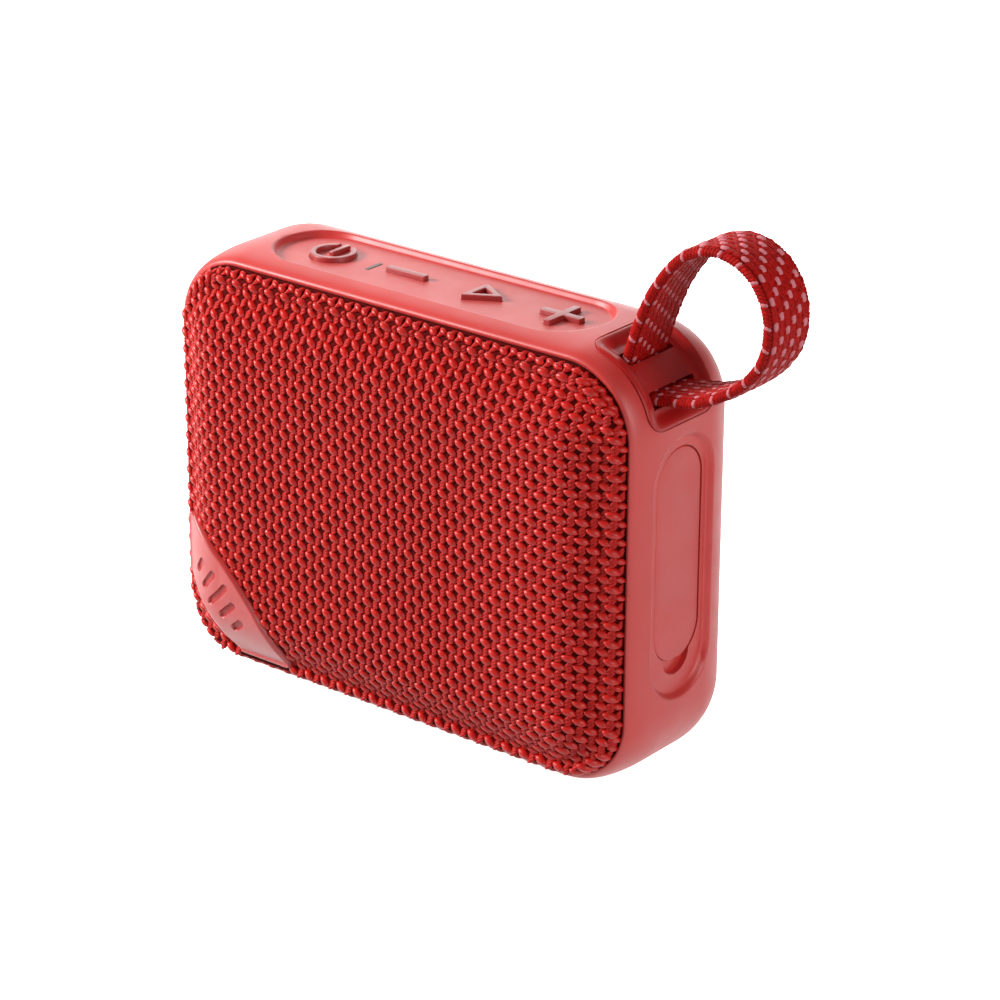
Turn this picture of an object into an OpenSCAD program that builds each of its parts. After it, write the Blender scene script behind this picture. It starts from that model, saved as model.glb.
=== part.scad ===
// Portable bluetooth speaker with a fabric front, a strap loop at one corner and its working insides.
// Seen from the front, X points right, Y points back and Z points up. The origin is the centre of
// the foot pad's underside, and Y = 0 is the middle of the key row, the side cover and the strap.
// Profiles of the round-edged pieces are drawn upright: their local Z points to the front (-Y).

/* [Body] */
// Width of the housing
body_w = 104; // [100:1:112]
// Height of the housing without its foot pad
body_h = 80; // [78:1:88]
// Corner radius of the housing seen from the front
corner_r = 15; // [15:0.5:16]
// How far the housing's front lip stands before the middle of the key row
lip_front = 13; // [13:0.5:15]
// How far the housing reaches behind the middle of the key row
body_back = 19.4; // [19.4:0.2:22]
// Radius of the soft back edge
back_edge_r = 12.6; // [11:0.2:12.6]
// Wall thickness of the housing
wall = 2.5; // [2.5:0.1:2.8]

/* [Front] */
// How far the middle of the crowned fabric stands proud of the housing's lip
fabric_proud = 6.4; // [6:0.1:6.8]
// Thickness of the fabric skin
fabric_t = 0.7; // [0.5:0.1:0.9]
// Hole radius in the panel behind the fabric
panel_hole_r = 1.7; // [1:0.1:1.9]
// How far the corner badge stands proud of the fabric
badge_proud = 0.9; // [0.5:0.1:1.2]

/* [Keys] */
// Distance between neighbouring keys
key_pitch = 17.1; // [17:0.1:17.5]
// How far a key can be pressed
key_travel = 0.4; // [0.3:0.05:0.45]
// Height of the key symbols above the floor of their dish
key_proud = 0.9; // [0.5:0.1:1.2]
// Depth of the dishes for the keys and for the side cover
dish_depth = 1.2; // [0.8:0.1:1.2]

/* [Strap] */
// Width of the strap
strap_w = 12; // [10:0.5:12]
// Thickness of the strap
strap_t = 2.2; // [1.8:0.1:2.2]

/* [Side cover] */
// Height of the oval side cover
cover_h = 39; // [38:0.5:39]
// Width of the oval side cover
cover_w = 12.5; // [12.5:0.1:13]

/* [Sound] */
// Radius of the driver's round flange
driver_r = 23.5; // [23.5:0.5:24]
// Width of the passive radiator
radiator_w = 58; // [56:1:60]
// Height of the passive radiator
radiator_h = 34; // [34:1:36]

/* [Hidden] */
$fn = 48;
EDGE_STEPS = 7;     // straight steps that make up one rounded edge
gap = 0.1;          // joint line between neighbouring pieces
over = 1;           // how far a cutting shape runs past what it cuts

// Housing
pad_h = 0.8;                          // how far the foot pad stands out
mid_z = pad_h + body_h/2;             // height of the housing's centre
top_z = pad_h + body_h;
side_x = body_w/2;
corner_x = side_x - corner_r;         // axis of the upper right corner, where the strap sits
corner_z = top_z - corner_r;
front_edge = [9.6, 2];                // depth and inset of the soft front edge
inside_r = corner_r - wall;
floor_d = wall - body_back;           // inner face of the back wall
opening = wall;                       // inset of the front opening

// Front stack, as depths measured to the front from Y = 0
ledge_d = 9;
baffle_d = 9.4;
baffle_t = 1.6;
corner_posts = [[-44, 8.8], [44, 8.8], [-44, 72.8], [28, 75]];   // bosses for the baffle, in X and Z
post_r = 3;
baffle_post_d = 5;                    // back end of those bosses
panel_back = 12;                      // back of the panel's rim
panel_t = 1.6;
face_d = lip_front + fabric_proud;
face_inset = opening + gap;
crown_end = corner_r - 0.2;            // inset from the side at which the front is flat
CROWN_POWER = 1.9;                    // how soon the crown flattens towards the middle
badge_mid = [-body_w/2 - 13.5, mid_z - 51.7];   // centre of the arcs that bound the badge, outside the corner
badge_r = [34.5, 45.8];                         // radii of those arcs

// Keys
dish_z = top_z - dish_depth;          // floor of the key dish
dish_w = 18.3;
dish_x = [-37, 35];
roof_z = top_z - wall;                // inner face of the housing's top
key_x = [-1.5*key_pitch, -0.5*key_pitch, 0.5*key_pitch, 1.5*key_pitch];
key_gap = 0.12;
flange_r = 4.9;
flange_z = roof_z - 0.1;
flange_t = 0.8;
retainer_z = flange_z - flange_t - 0.5;   // top of the retainer, which stops a pressed key
retainer_t = 1.4;
stem_r = 1.5;
plunger_top = retainer_z - retainer_t - 0.1;
plunger_r = 1;
plunger_len = 1.6;
switch_top = plunger_top - 0.8;
switch_h = 2;
switch_w = 4.6;
board_top = switch_top - switch_h;    // top of the key board
board_t = 1.2;
post_x = [-34, 0, 34];
light_x = -16.2;
light_size = [0.8, 4];

// Strap insert, as radii about the corner's axis
seat_from = 6;                        // the insert's sector, in degrees above the side
seat_to = 86;
seat_half = 9.2;                      // half its width along Y
saddle_r = 13.5;                      // floor between the two slots
pocket_r = 7.4;                       // inner end of the pocket behind the slots
channel_gap = 0.3;
// Centre line of the strap in X and Z, from its upper slot round the loop and back behind the bridge
strap_route = [[43.2, 78], [45.4, 84.6], [48.6, 91.4], [54, 97.8], [60.8, 100], [67.2, 97.6],
               [70.8, 91.6], [70.3, 84.2], [65.8, 78.2], [58.4, 73.8], [51, 72.2], [46.8, 71.8],
               [43.6, 73.4], [42.4, 75.6]];
ROUTE_STEPS = 5;                      // points between two neighbours of the strap's centre line

// Side cover
side_dish = [16.9, 65.2];             // lower and upper end of the side dish
side_dish_w = 16.8;
dish_floor_x = side_x - dish_depth;
cover_top = mid_z + 21.8;             // the cover swings about this line
cover_mid = cover_top - cover_h/2;
cover_t = 1.6;
cover_gap = 0.12;
lip_t = 0.5;                          // sealing lip on the cover's inner face
port_floor_x = dish_floor_x - cover_t - lip_t - 0.1;
port_block_x = port_floor_x - 1.8;
notch_z = cover_top - cover_h + 1.2;  // middle of the fingernail notch
tether_z = cover_top - 4.2;
usb_z = mid_z + 2;
aux_z = mid_z + 11;
card_z = mid_z - 9.6;
aux_r = 1.8;

// Main board and battery
pcb_front = -1.65;                    // front face of the main board, as a depth
pcb_t = 1.2;
pcb_x = [6, port_block_x - 0.3];
pcb_z = [9, 67];
board_posts = [[10, 13], [42.5, 13], [10, 63.5]];
battery_size = [30, 52, 8.2];
battery_at = [18.8, 36];
foam_t = 1.6;
screw_r = 0.95;
screw_hole_r = 1;
head_r = 1.8;
head_t = 0.8;

// Driver, about its own axis
driver_at = [-20, 38];
driver_back = 8.2;                    // back of the driver's flange, as a depth
flange_front = driver_back + 1;
roll_r = 1.7;                         // radius of the surround's roll
cone_r = 15.6;
coil_r = [6.05, 6.4];
gap_r = [5.8, 6.65];                  // the magnetic gap round the coil
plate_front = -1.2;                   // front of the driver's top plate
plate_t = 2;
magnet_t = 5;
magnet_r = 14;

// Passive radiator
radiator_rim = 1.5;                   // frame outside the opening
radiator_roll = 3.2;                  // width of its rubber roll

// ---- shared shapes ----

// Turns an upright profile so that its Z points to the front
module upright(x = 0, z = 0) { translate([x, 0, z]) rotate([90, 0, 0]) children(); }

// Points of a quarter ellipse from [0, 0] to [inset, depth], as an edge that rolls inwards
function rolled(inset, depth) =
  [for (i = [0 : EDGE_STEPS]) let (a = 90*i/EDGE_STEPS) [inset*(1 - cos(a)), depth*sin(a)]];

// Rectangle with round corners, exact
module round_rect(w, h, r) {
  square([w, h - 2*r], center = true);
  square([w - 2*r, h], center = true);
  for (x = [-1, 1], y = [-1, 1]) translate([x*(w/2 - r), y*(h/2 - r)]) circle(r);
}

// Shape with two round ends, its long way along Y
module oval(w, h) { round_rect(w, h, w/2 - 0.001); }

// Plate with a round-cornered outline, from one depth to another
module slab(inset, from, to) {
  upright(0, mid_z) translate([0, 0, from]) linear_extrude(to - from)
    round_rect(body_w - 2*inset, body_h - 2*inset, corner_r - inset);
}

// Solid with the housing's outline whose edge follows a profile of [inset, depth] points
module rim_solid(base, profile) {
  r = corner_r - base;
  half_w = body_w/2 - corner_r;
  half_h = body_h/2 - corner_r;
  back = profile[0][1];
  front = profile[len(profile) - 1][1];
  section = concat([[0, back]], [for (p = profile) [r - p[0], p[1]]], [[0, front]]);
  upright(0, mid_z) {
    translate([-half_w, -half_h, back]) cube([2*half_w, 2*half_h, front - back]);
    for (turn = [0 : 3]) {
      sx = turn == 0 || turn == 3 ? 1 : -1;
      sy = turn < 2 ? 1 : -1;
      translate([sx*half_w, sy*half_h, 0]) rotate_extrude(angle = 90, start = 90*turn) polygon(section);
    }
    for (side = [0, 180]) rotate([0, 0, side]) {
      translate([half_w, half_h, 0]) rotate([90, 0, 0]) linear_extrude(2*half_h) polygon(section);
      translate([-half_w, half_h, 0]) rotate([90, 0, 90]) linear_extrude(2*half_w) polygon(section);
    }
  }
}

// Edge profiles, from the back to the front
function shell_profile() = concat(
  [for (i = [EDGE_STEPS : -1 : 0]) let (p = rolled(back_edge_r, back_edge_r)[i])
    [p[0], back_edge_r - body_back - p[1]]],
  [for (p = rolled(front_edge[1], front_edge[0])) [p[0], lip_front - front_edge[0] + p[1]]]);
function hollow_profile() = let (r = back_edge_r - wall) concat(
  [for (i = [EDGE_STEPS : -1 : 0]) let (p = rolled(r, r)[i]) [p[0], r + floor_d - p[1]]],
  [[0, lip_front + over]]);
function face_profile(base, back, front) = concat(
  [[0, back]],
  [for (i = [0 : EDGE_STEPS]) let (t = i/EDGE_STEPS)
    [(crown_end - base)*t, front - fabric_proud*pow(1 - t, CROWN_POWER)]]);
module face_solid(base, back, front) { rim_solid(base, face_profile(base, back, front)); }

// Turns a shape so that its Z is the side cover's outward direction and its Y is up
module on_side(x, z) { translate([x, 0, z]) rotate([90, 0, 90]) children(); }

// Ring sector about the axis of the upper right corner, from a section in [radius, depth]
module corner_sector(from, to, section) {
  upright(corner_x, corner_z) rotate_extrude(angle = to - from, start = from, $fn = 96) polygon(section);
}
function band(r0, r1, half) = [[r0, -half], [r1, -half], [r1, half], [r0, half]];

// Closed smooth curve through the points of a route
function smooth(a, b, c, d, t) =
  0.5*(2*b + (c - a)*t + (2*a - 5*b + 4*c - d)*t*t + (3*b - a - 3*c + d)*t*t*t);
function ring_points(route) = let (n = len(route)) [
  for (i = [0 : n - 1], k = [0 : ROUTE_STEPS - 1])
    smooth(route[(i + n - 1) % n], route[i], route[(i + 1) % n], route[(i + 2) % n], k/ROUTE_STEPS)];
// The same curve moved sideways, inwards where the distance is positive
function beside(points, distance) = let (n = len(points)) [
  for (i = [0 : n - 1]) let (way = points[(i + 1) % n] - points[(i + n - 1) % n])
    points[i] + distance*[way[1], -way[0]]/norm(way)];

// Flat ring that follows the strap's centre line
module strap_ring(thickness, width) {
  line = ring_points(strap_route);
  upright() linear_extrude(width, center = true) difference() {
    polygon(beside(line, -thickness/2));
    polygon(beside(line, thickness/2));
  }
}

// Straight round wire through a list of points
function unit(v) = v/norm(v);
module wire(route, r) {
  sides = 8;
  n = len(route);
  ways = [for (i = [0 : n - 1]) unit(route[min(i + 1, n - 1)] - route[max(i - 1, 0)])];
  rings = [for (i = [0 : n - 1])
    let (u = unit(cross(ways[i], [0.31, 0.9, 0.3])), v = cross(ways[i], u))
    for (k = [0 : sides - 1]) let (a = 360*k/sides) route[i] + r*(u*cos(a) + v*sin(a))];
  polyhedron(rings, concat(
    [[for (k = [0 : sides - 1]) k]],
    [for (i = [0 : n - 2], k = [0 : sides - 1], half = [0, 1])
      let (a = i*sides + k, b = i*sides + (k + 1) % sides)
        half == 0 ? [a, a + sides, b] : [a + sides, b + sides, b]],
    [[for (k = [sides - 1 : -1 : 0]) (n - 1)*sides + k]]));
}

// Screw along Z with its head at the top
module screw(len) {
  cylinder(head_t, head_r, head_r);
  translate([0, 0, -len]) cylinder(len, screw_r, screw_r);
}

// ---- housing ----

module main_shell() {
  color([0.82, 0.33, 0.31]) difference() {
    union() {
      difference() {
        rim_solid(0, shell_profile());
        rim_solid(wall, hollow_profile());
      }
      shell_ledge();
      // bosses that take the baffle's screws
      for (p = corner_posts) upright(p[0], p[1]) translate([0, 0, baffle_post_d])
        cylinder(ledge_d - baffle_post_d, post_r, post_r);
      // posts for the key board
      for (x = post_x) translate([x, 0, retainer_z]) cylinder(roof_z + 0.5 - retainer_z, 2.2, 2.2);
      // posts for the main board
      for (p = board_posts) upright(p[0], p[1]) translate([0, 0, floor_d - 1])
        cylinder(pcb_front - pcb_t - floor_d + 1, 2.6, 2.6);
      // thick place behind the side cover
      translate([port_block_x, -8.5, side_dish[0] + 1]) cube([side_x - wall/2 - port_block_x, 17, 46]);
    }
    key_openings();
    side_openings();
    // seat of the strap insert, and the way for its pocket
    corner_sector(seat_from, seat_to, band(inside_r - over, corner_r + 2*over, seat_half));
    // back opening of the radiator, with a step for its frame
    upright(0, mid_z) rotate([0, 0, 90]) {
      translate([0, 0, -body_back - over]) linear_extrude(2*wall + over) oval(radiator_h, radiator_w);
      translate([0, 0, floor_d - 1]) linear_extrude(wall)
        oval(radiator_h + 2*radiator_rim, radiator_w + 2*radiator_rim);
    }
    // recess of the foot pad
    translate([0, 0, pad_h - over]) linear_extrude(over + 0.5) rotate([0, 0, 90]) oval(16, 68);
    // pilot holes
    for (p = corner_posts) upright(p[0], p[1]) translate([0, 0, baffle_post_d + 0.6])
      cylinder(ledge_d, screw_hole_r, screw_hole_r);
    for (x = post_x) translate([x, 0, retainer_z - over]) cylinder(over + 1.9, screw_hole_r, screw_hole_r);
    for (p = board_posts) upright(p[0], p[1]) translate([0, 0, -10])
      cylinder(10, screw_hole_r, screw_hole_r);
  }
}

// Ledge inside the front opening on which the baffle's seal lies
module shell_ledge() {
  difference() {
    slab(wall - 0.4, ledge_d - 1.2, ledge_d);
    slab(wall + 1.8, ledge_d - 2, ledge_d + over);
  }
}

module key_openings() {
  translate([(dish_x[0] + dish_x[1])/2, 0, dish_z]) rotate([0, 0, 90])
    linear_extrude(2*over + dish_depth) oval(dish_w, dish_x[1] - dish_x[0]);
  translate([0, 0, roof_z - over]) linear_extrude(wall + over) for (i = [0 : 3])
    translate([key_x[i], 0]) key_outline(i, key_gap);
  translate([light_x - light_size[0]/2, -light_size[1]/2, roof_z - over])
    cube([light_size[0], light_size[1], wall + over]);
}

module side_openings() {
  dish_h = side_dish[1] - side_dish[0];
  on_side(dish_floor_x, side_dish[0] + dish_h/2) linear_extrude(2*over + dish_depth)
    oval(side_dish_w, dish_h);
  on_side(port_floor_x, cover_mid) linear_extrude(3*over + cover_t)
    oval(cover_w + 2*cover_gap, cover_h + 2*cover_gap);
  // fingernail notch
  on_side(port_floor_x + 1, notch_z) linear_extrude(3*over) oval(7.6, 7.7);
  on_side(port_block_x - over, usb_z) linear_extrude(4) round_rect(3.6, 9.3, 1.6);
  on_side(port_block_x - over, aux_z) linear_extrude(4) circle(2.9);
  on_side(port_block_x - over, card_z) linear_extrude(4)
    translate([0.6, 0]) square([1.8, 12.2], center = true);
  on_side(port_block_x - over, tether_z) linear_extrude(4) circle(1.25);
}

module baffle() {
  color([0.13, 0.13, 0.14]) difference() {
    slab(wall + 0.15, baffle_d, baffle_d + baffle_t);
    upright(driver_at[0], driver_at[1]) cylinder(60, driver_r - 4.2, driver_r - 4.2, center = true);
    for (p = corner_posts) upright(p[0], p[1])
      cylinder(60, screw_hole_r + 0.1, screw_hole_r + 0.1, center = true);
    upright(driver_at[0], driver_at[1]) around(4, 21.4)
      cylinder(60, screw_hole_r, screw_hole_r, center = true);
  }
}

// Copies of a shape round an axis
module around(count, r) {
  for (i = [0 : count - 1]) rotate([0, 0, 45 + i*360/count]) translate([r, 0, 0]) children();
}

module baffle_seal() {
  color([0.1, 0.1, 0.1]) difference() {
    slab(wall + 0.15, ledge_d, baffle_d);
    slab(wall + 1.6, ledge_d - over, baffle_d + over);
    for (p = corner_posts) upright(p[0], p[1]) cylinder(60, post_r, post_r, center = true);
  }
}

module baffle_screws() {
  color([0.7, 0.7, 0.72]) for (p = corner_posts) upright(p[0], p[1])
    translate([0, 0, baffle_d + baffle_t]) screw(5);
}

module grille_panel() {
  front = face_d - fabric_t;
  rim = face_inset + fabric_t;
  spacer_d = panel_back + 0.2 - baffle_d - baffle_t;
  color([0.15, 0.03, 0.03]) difference() {
    union() {
      difference() {
        face_solid(rim, panel_back, front);
        face_solid(rim + panel_t, panel_back - 3, front - panel_t);
      }
      // spacers that rest on the baffle, one in the middle of each side
      for (turn = [0, 90], side = [-1, 1])
        upright(0, mid_z) rotate([0, 0, turn])
          translate([side*((turn == 0 ? body_w : body_h)/2 - rim - 0.8), 0,
                     baffle_d + baffle_t + spacer_d/2])
            cube([1.4, 14, spacer_d], center = true);
    }
    // sound holes before the driver
    upright(driver_at[0], driver_at[1]) for (row = [-4 : 4], col = [-4 : 4])
      let (p = [4.5*(col + (row % 2 == 0 ? 0 : 0.5)), 3.9*row])
      if (norm(p) < driver_r - 5.5) translate([p[0], p[1], front - panel_t - 3])
        cylinder(panel_t + 5, panel_hole_r, panel_hole_r, $fn = 24);
  }
}

module grille_fabric() {
  color([0.74, 0.12, 0.1]) difference() {
    face_solid(face_inset, baffle_d + baffle_t, face_d);
    face_solid(face_inset + fabric_t, baffle_d + baffle_t - over, face_d - fabric_t);
  }
}

module badge() {
  bar_proud = 0.4;    // how far the floor of the sunk bars stands proud of the fabric
  color([0.85, 0.36, 0.34]) difference() {
    intersection() {
      face_solid(face_inset - badge_proud, lip_front + 0.1, face_d + badge_proud);
      upright(badge_mid[0], badge_mid[1]) difference() {
        cylinder(30, badge_r[1], badge_r[1], $fn = 180);
        cylinder(100, badge_r[0], badge_r[0], center = true, $fn = 180);
      }
    }
    face_solid(face_inset, 0, face_d);
    // five bars sunk into the badge, longest in the middle
    difference() {
      upright(badge_mid[0], badge_mid[1]) for (i = [-2 : 2]) rotate([0, 0, 45 + 4.6*i])
        translate([(badge_r[0] + badge_r[1])/2, 0, 0]) linear_extrude(2*face_d)
          square([6.4 - 1.5*abs(i), 1.4], center = true);
      face_solid(face_inset - bar_proud, 0, face_d + bar_proud);
    }
  }
}

module base_pad() {
  color([0.25, 0.07, 0.07]) linear_extrude(pad_h + 0.5) rotate([0, 0, 90]) oval(16 - gap, 68 - gap);
}

// ---- strap ----

module strap_insert() {
  color([0.5, 0.13, 0.13]) difference() {
    union() {
      corner_sector(seat_from, seat_to, band(inside_r, corner_r, seat_half));
      corner_sector(seat_from + 8, seat_to - 8, band(pocket_r, inside_r, strap_w/2 + 1.5));
    }
    // saddle between sloping walls
    corner_sector(seat_from + 5, seat_to - 5,
      [[saddle_r, -seat_half + 2.6], [corner_r + over, -seat_half + 0.5],
       [corner_r + over, seat_half - 0.5], [saddle_r, seat_half - 2.6]]);
    strap_ring(strap_t + 2*channel_gap, strap_w + 2*channel_gap);
  }
}

module strap() { color([0.68, 0.14, 0.12]) strap_ring(strap_t, strap_w); }

// ---- keys ----

// Outline of one key: power, volume down, play, volume up
module key_outline(kind, grow = 0) {
  if (kind == 0) circle(4.2 + grow);
  if (kind == 1) square([8.7 + 2*grow, 1.4 + 2*grow], center = true);
  if (kind == 2) polygon([for (a = [0, 120, 240]) (4.3 + 2*grow)*[cos(a), sin(a)]]);
  if (kind == 3) for (turn = [0, 90]) rotate([0, 0, turn])
    square([8.7 + 2*grow, 1.5 + 2*grow], center = true);
}

// Sunk middle of the power and play keys, which leaves only the symbol's lines raised
module key_sink(kind) {
  if (kind == 0) difference() {
    union() {
      circle(3.1);
      translate([-1.5, 0]) square([3, 6]);
    }
    translate([-0.55, -0.6]) square([1.1, 6]);
  }
  if (kind == 2) polygon([for (a = [0, 120, 240]) 2.1*[cos(a), sin(a)]]);
}

module key(kind) {
  color([0.6, 0.12, 0.12]) translate([key_x[kind], 0, 0]) difference() {
    union() {
      translate([0, 0, flange_z - 0.01]) linear_extrude(dish_z + key_proud - flange_z + 0.01)
        key_outline(kind);
      translate([0, 0, flange_z - flange_t]) cylinder(flange_t, flange_r, flange_r);
      translate([0, 0, plunger_top]) cylinder(flange_z - flange_t/2 - plunger_top, stem_r, stem_r);
    }
    translate([0, 0, dish_z]) linear_extrude(key_proud + over) key_sink(kind);
  }
}
module power_key() { key(0); }
module volume_down_key() { key(1); }
module play_key() { key(2); }
module volume_up_key() { key(3); }

module plunger(kind) {
  color([0.9, 0.9, 0.86]) translate([key_x[kind], 0, plunger_top - plunger_len])
    cylinder(plunger_len, plunger_r, plunger_r);
}
module power_plunger() { plunger(0); }
module volume_down_plunger() { plunger(1); }
module play_plunger() { plunger(2); }
module volume_up_plunger() { plunger(3); }

module key_retainer() {
  bottom = retainer_z - retainer_t;
  color([0.2, 0.2, 0.21]) difference() {
    union() {
      translate([-36.3, -4, bottom]) cube([72.6, 8, retainer_t]);
      for (x = post_x) translate([x, 0, board_top]) cylinder(bottom - board_top + 0.5, 2, 2);
    }
    for (x = key_x) translate([x, 0, bottom - over])
      cylinder(retainer_t + 2*over, stem_r + 0.06, stem_r + 0.06);
    for (x = post_x) translate([x, 0, board_top - over]) cylinder(8, screw_hole_r, screw_hole_r);
    translate([light_x, 0, bottom - over]) linear_extrude(retainer_t + 2*over)
      square(light_size + [0.2, 0.2], center = true);
  }
}

module key_board() {
  color([0.05, 0.3, 0.14]) translate([0, 0, board_top - board_t]) difference() {
    translate([-36.3, -4, 0]) cube([72.6, 8, board_t]);
    for (x = post_x) translate([x, 0, -over]) cylinder(board_t + 2*over, screw_hole_r, screw_hole_r);
  }
}

module key_switches() {
  color([0.12, 0.12, 0.12]) for (x = key_x) translate([x, 0, board_top]) difference() {
    translate([-switch_w/2, -switch_w/2, 0]) cube([switch_w, switch_w, switch_h]);
    translate([0, 0, switch_h + 0.8 - plunger_len - key_travel - 0.1])
      cylinder(switch_h, plunger_r + 0.05, plunger_r + 0.05);
  }
}

module key_screws() {
  color([0.7, 0.7, 0.72]) for (x = post_x) translate([x, 0, board_top - board_t]) rotate([180, 0, 0])
    screw(board_t + retainer_z - board_top + 1.6);
}

module light_pipe() {
  color([0.62, 0.6, 0.58]) translate([light_x, 0, board_top + 1])
    linear_extrude(dish_z + 0.1 - board_top - 1) square(light_size - [0.1, 0.1], center = true);
}

module status_led() {
  color([0.9, 0.88, 0.7]) translate([light_x - 0.4, -0.8, board_top]) cube([0.8, 1.6, 0.8]);
}

// ---- side cover and sockets ----

module port_cover() {
  color([0.8, 0.34, 0.32]) {
    on_side(dish_floor_x - cover_t, cover_mid) linear_extrude(cover_t) difference() {
      oval(cover_w, cover_h);
      // room for a fingernail
      translate([0, notch_z - cover_mid - 4.7]) circle(3.8);
    }
    on_side(dish_floor_x - cover_t - lip_t, cover_mid + 1.5) linear_extrude(lip_t) difference() {
      oval(cover_w - 2.4, cover_h - 6);
      oval(cover_w - 4.4, cover_h - 8);
    }
  }
}

module cover_tether() {
  color([0.7, 0.25, 0.24]) on_side(port_block_x - 1.2, tether_z) {
    cylinder(port_floor_x - port_block_x + 1.8, 1.15, 1.15);
    cylinder(1.2, 2, 2);
  }
}

module main_board() {
  color([0.05, 0.3, 0.14]) difference() {
    translate([pcb_x[0], -pcb_front, pcb_z[0]]) cube([pcb_x[1] - pcb_x[0], pcb_t, pcb_z[1] - pcb_z[0]]);
    for (p = board_posts) upright(p[0], p[1])
      cylinder(30, screw_hole_r + 0.1, screw_hole_r + 0.1, center = true);
    // room for the aux socket and for the tether's head
    translate([pcb_x[1] - 12.4, -10, aux_z - 3.1]) cube([20, 20, 6.2]);
    translate([pcb_x[1] - 1.2, -10, tether_z - 2.2]) cube([20, 20, 4.4]);
  }
}

module board_components() {
  back_y = pcb_t - pcb_front;
  color([0.16, 0.16, 0.17]) {
    translate([12, back_y, 44]) cube([12, 1.6, 14]);      // radio module
    translate([28, back_y, 46]) cube([7, 1, 7]);          // processor
    translate([30, back_y, 28]) cube([6, 1.2, 6]);        // amplifier
    translate([38, back_y, 27]) cube([5, 3, 5]);          // two chokes
    translate([38, back_y, 36]) cube([5, 3, 5]);
    for (z = [18 : 6 : 36]) translate([20, back_y, z]) rotate([-90, 0, 0]) cylinder(3.6, 2, 2);
  }
}

module board_screws() {
  color([0.7, 0.7, 0.72]) for (p = board_posts) upright(p[0], p[1]) translate([0, 0, pcb_front]) screw(5.5);
}

module usb_c_socket() {
  color([0.75, 0.75, 0.77]) on_side(port_floor_x - 7.6, usb_z) difference() {
    linear_extrude(7.4) round_rect(3.26, 8.94, 1.5);
    translate([0, 0, 1]) linear_extrude(8) difference() {
      round_rect(2.56, 8.34, 1.2);
      square([0.7, 6.7], center = true);
    }
  }
}

module aux_socket() {
  color([0.1, 0.1, 0.1]) on_side(port_floor_x - 14, aux_z) difference() {
    union() {
      linear_extrude(12) square([5.4, 6], center = true);
      cylinder(13.8, 2.7, 2.7);
    }
    translate([0, 0, 1]) cylinder(14, aux_r, aux_r);
  }
}

module card_socket() {
  color([0.75, 0.75, 0.77]) on_side(port_block_x - 12.8, card_z) difference() {
    translate([-pcb_front - 1.9, -6.6, 0]) cube([1.9, 13.2, 12.5]);
    translate([-pcb_front - 1.55, -5.7, 1]) cube([1.1, 11.4, 20]);
  }
}

module battery_cell() {
  color([0.25, 0.35, 0.6]) translate([battery_at[0], -battery_size[2]/2, battery_at[1]])
    cube([battery_size[0], battery_size[2], battery_size[1]], center = true);
}

module battery_foam() {
  color([0.2, 0.2, 0.2]) translate([battery_at[0], -pcb_front/2, battery_at[1]])
    cube([battery_size[0] - 8, -pcb_front, battery_size[1] - 12], center = true);
}

// Wires and the flat key cable, with hand-laid routes
module battery_wires() {
  color([0.75, 0.1, 0.1]) for (i = [0, 1])
    wire([[15 + 3*i, -4, 62], [15 + 3*i, -4, 63], [15 + 3*i, -3.2, 64.2], [15 + 3*i, -1.6, 64.8],
          [15 + 3*i, 0.2, 64.8], [15 + 3*i, 1.65, 64.8]], 0.5);
}

module driver_wires() {
  color([0.1, 0.1, 0.1]) for (i = [0, 1])
    wire([[-14 + 3*i, -8.2, 59], [-14 + 3*i, -6.5, 59.2], [-12 + 2.5*i, -3, 61.5],
          [-6 + 2*i, 2, 63.5 + 1.6*i], [-1, 5.6, 62.5 + 1.6*i], [3.5, 6.6, 59.5 + 1.6*i],
          [6.5 + 1.5*i, 6, 57.6 + 0.6*i],
          [8 + 2.4*i, 4.4, 57], [8 + 2.4*i, 2.85, 57]], 0.5);
}

module key_cable() {
  color([0.8, 0.5, 0.2]) translate([24, -pcb_front - 0.25, 63]) cube([6, 0.25, board_top - board_t - 63]);
}

// ---- driver ----

module driver_axis() { upright(driver_at[0], driver_at[1]) children(); }
module turned(section) { driver_axis() rotate_extrude($fn = 72) polygon(section); }

module driver_frame() {
  color([0.2, 0.2, 0.22]) difference() {
    turned([[driver_r - 5, flange_front], [driver_r, flange_front], [driver_r, driver_back],
            [20, driver_back], [13.6, plate_front], [7.4, plate_front], [7.4, plate_front + 1],
            [12.8, plate_front + 1], [18.5, driver_back - 0.4]]);
    // windows between the four arms
    driver_axis() for (turn = [0 : 90 : 270]) rotate([0, 0, turn]) translate([0, 0, plate_front + 1.6])
      linear_extrude(driver_back - plate_front - 2.6)
        polygon([[0, 0], 26*[cos(27), sin(27)], 26*[cos(27), -sin(27)]]);
    driver_axis() around(4, 21.4) cylinder(40, screw_hole_r, screw_hole_r, center = true);
  }
}

module driver_gasket() {
  color([0.08, 0.08, 0.08]) difference() {
    driver_axis() translate([0, 0, flange_front]) difference() {
      cylinder(baffle_d - flange_front, driver_r, driver_r);
      translate([0, 0, -over]) cylinder(3, driver_r - 3.6, driver_r - 3.6);
    }
    driver_axis() around(4, 21.4) cylinder(40, screw_hole_r, screw_hole_r, center = true);
  }
}

module driver_screws() {
  color([0.7, 0.7, 0.72]) driver_axis() around(4, 21.4) translate([0, 0, baffle_d + baffle_t]) screw(4);
}

module driver_top_plate() {
  color([0.55, 0.56, 0.58]) turned([[gap_r[1], plate_front], [13.4, plate_front],
                                    [13.4, plate_front - plate_t], [gap_r[1], plate_front - plate_t]]);
}

module driver_magnet() {
  top = plate_front - plate_t;
  color([0.16, 0.16, 0.17])
    turned([[8, top], [magnet_r, top], [magnet_r, top - magnet_t], [8, top - magnet_t]]);
}

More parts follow.
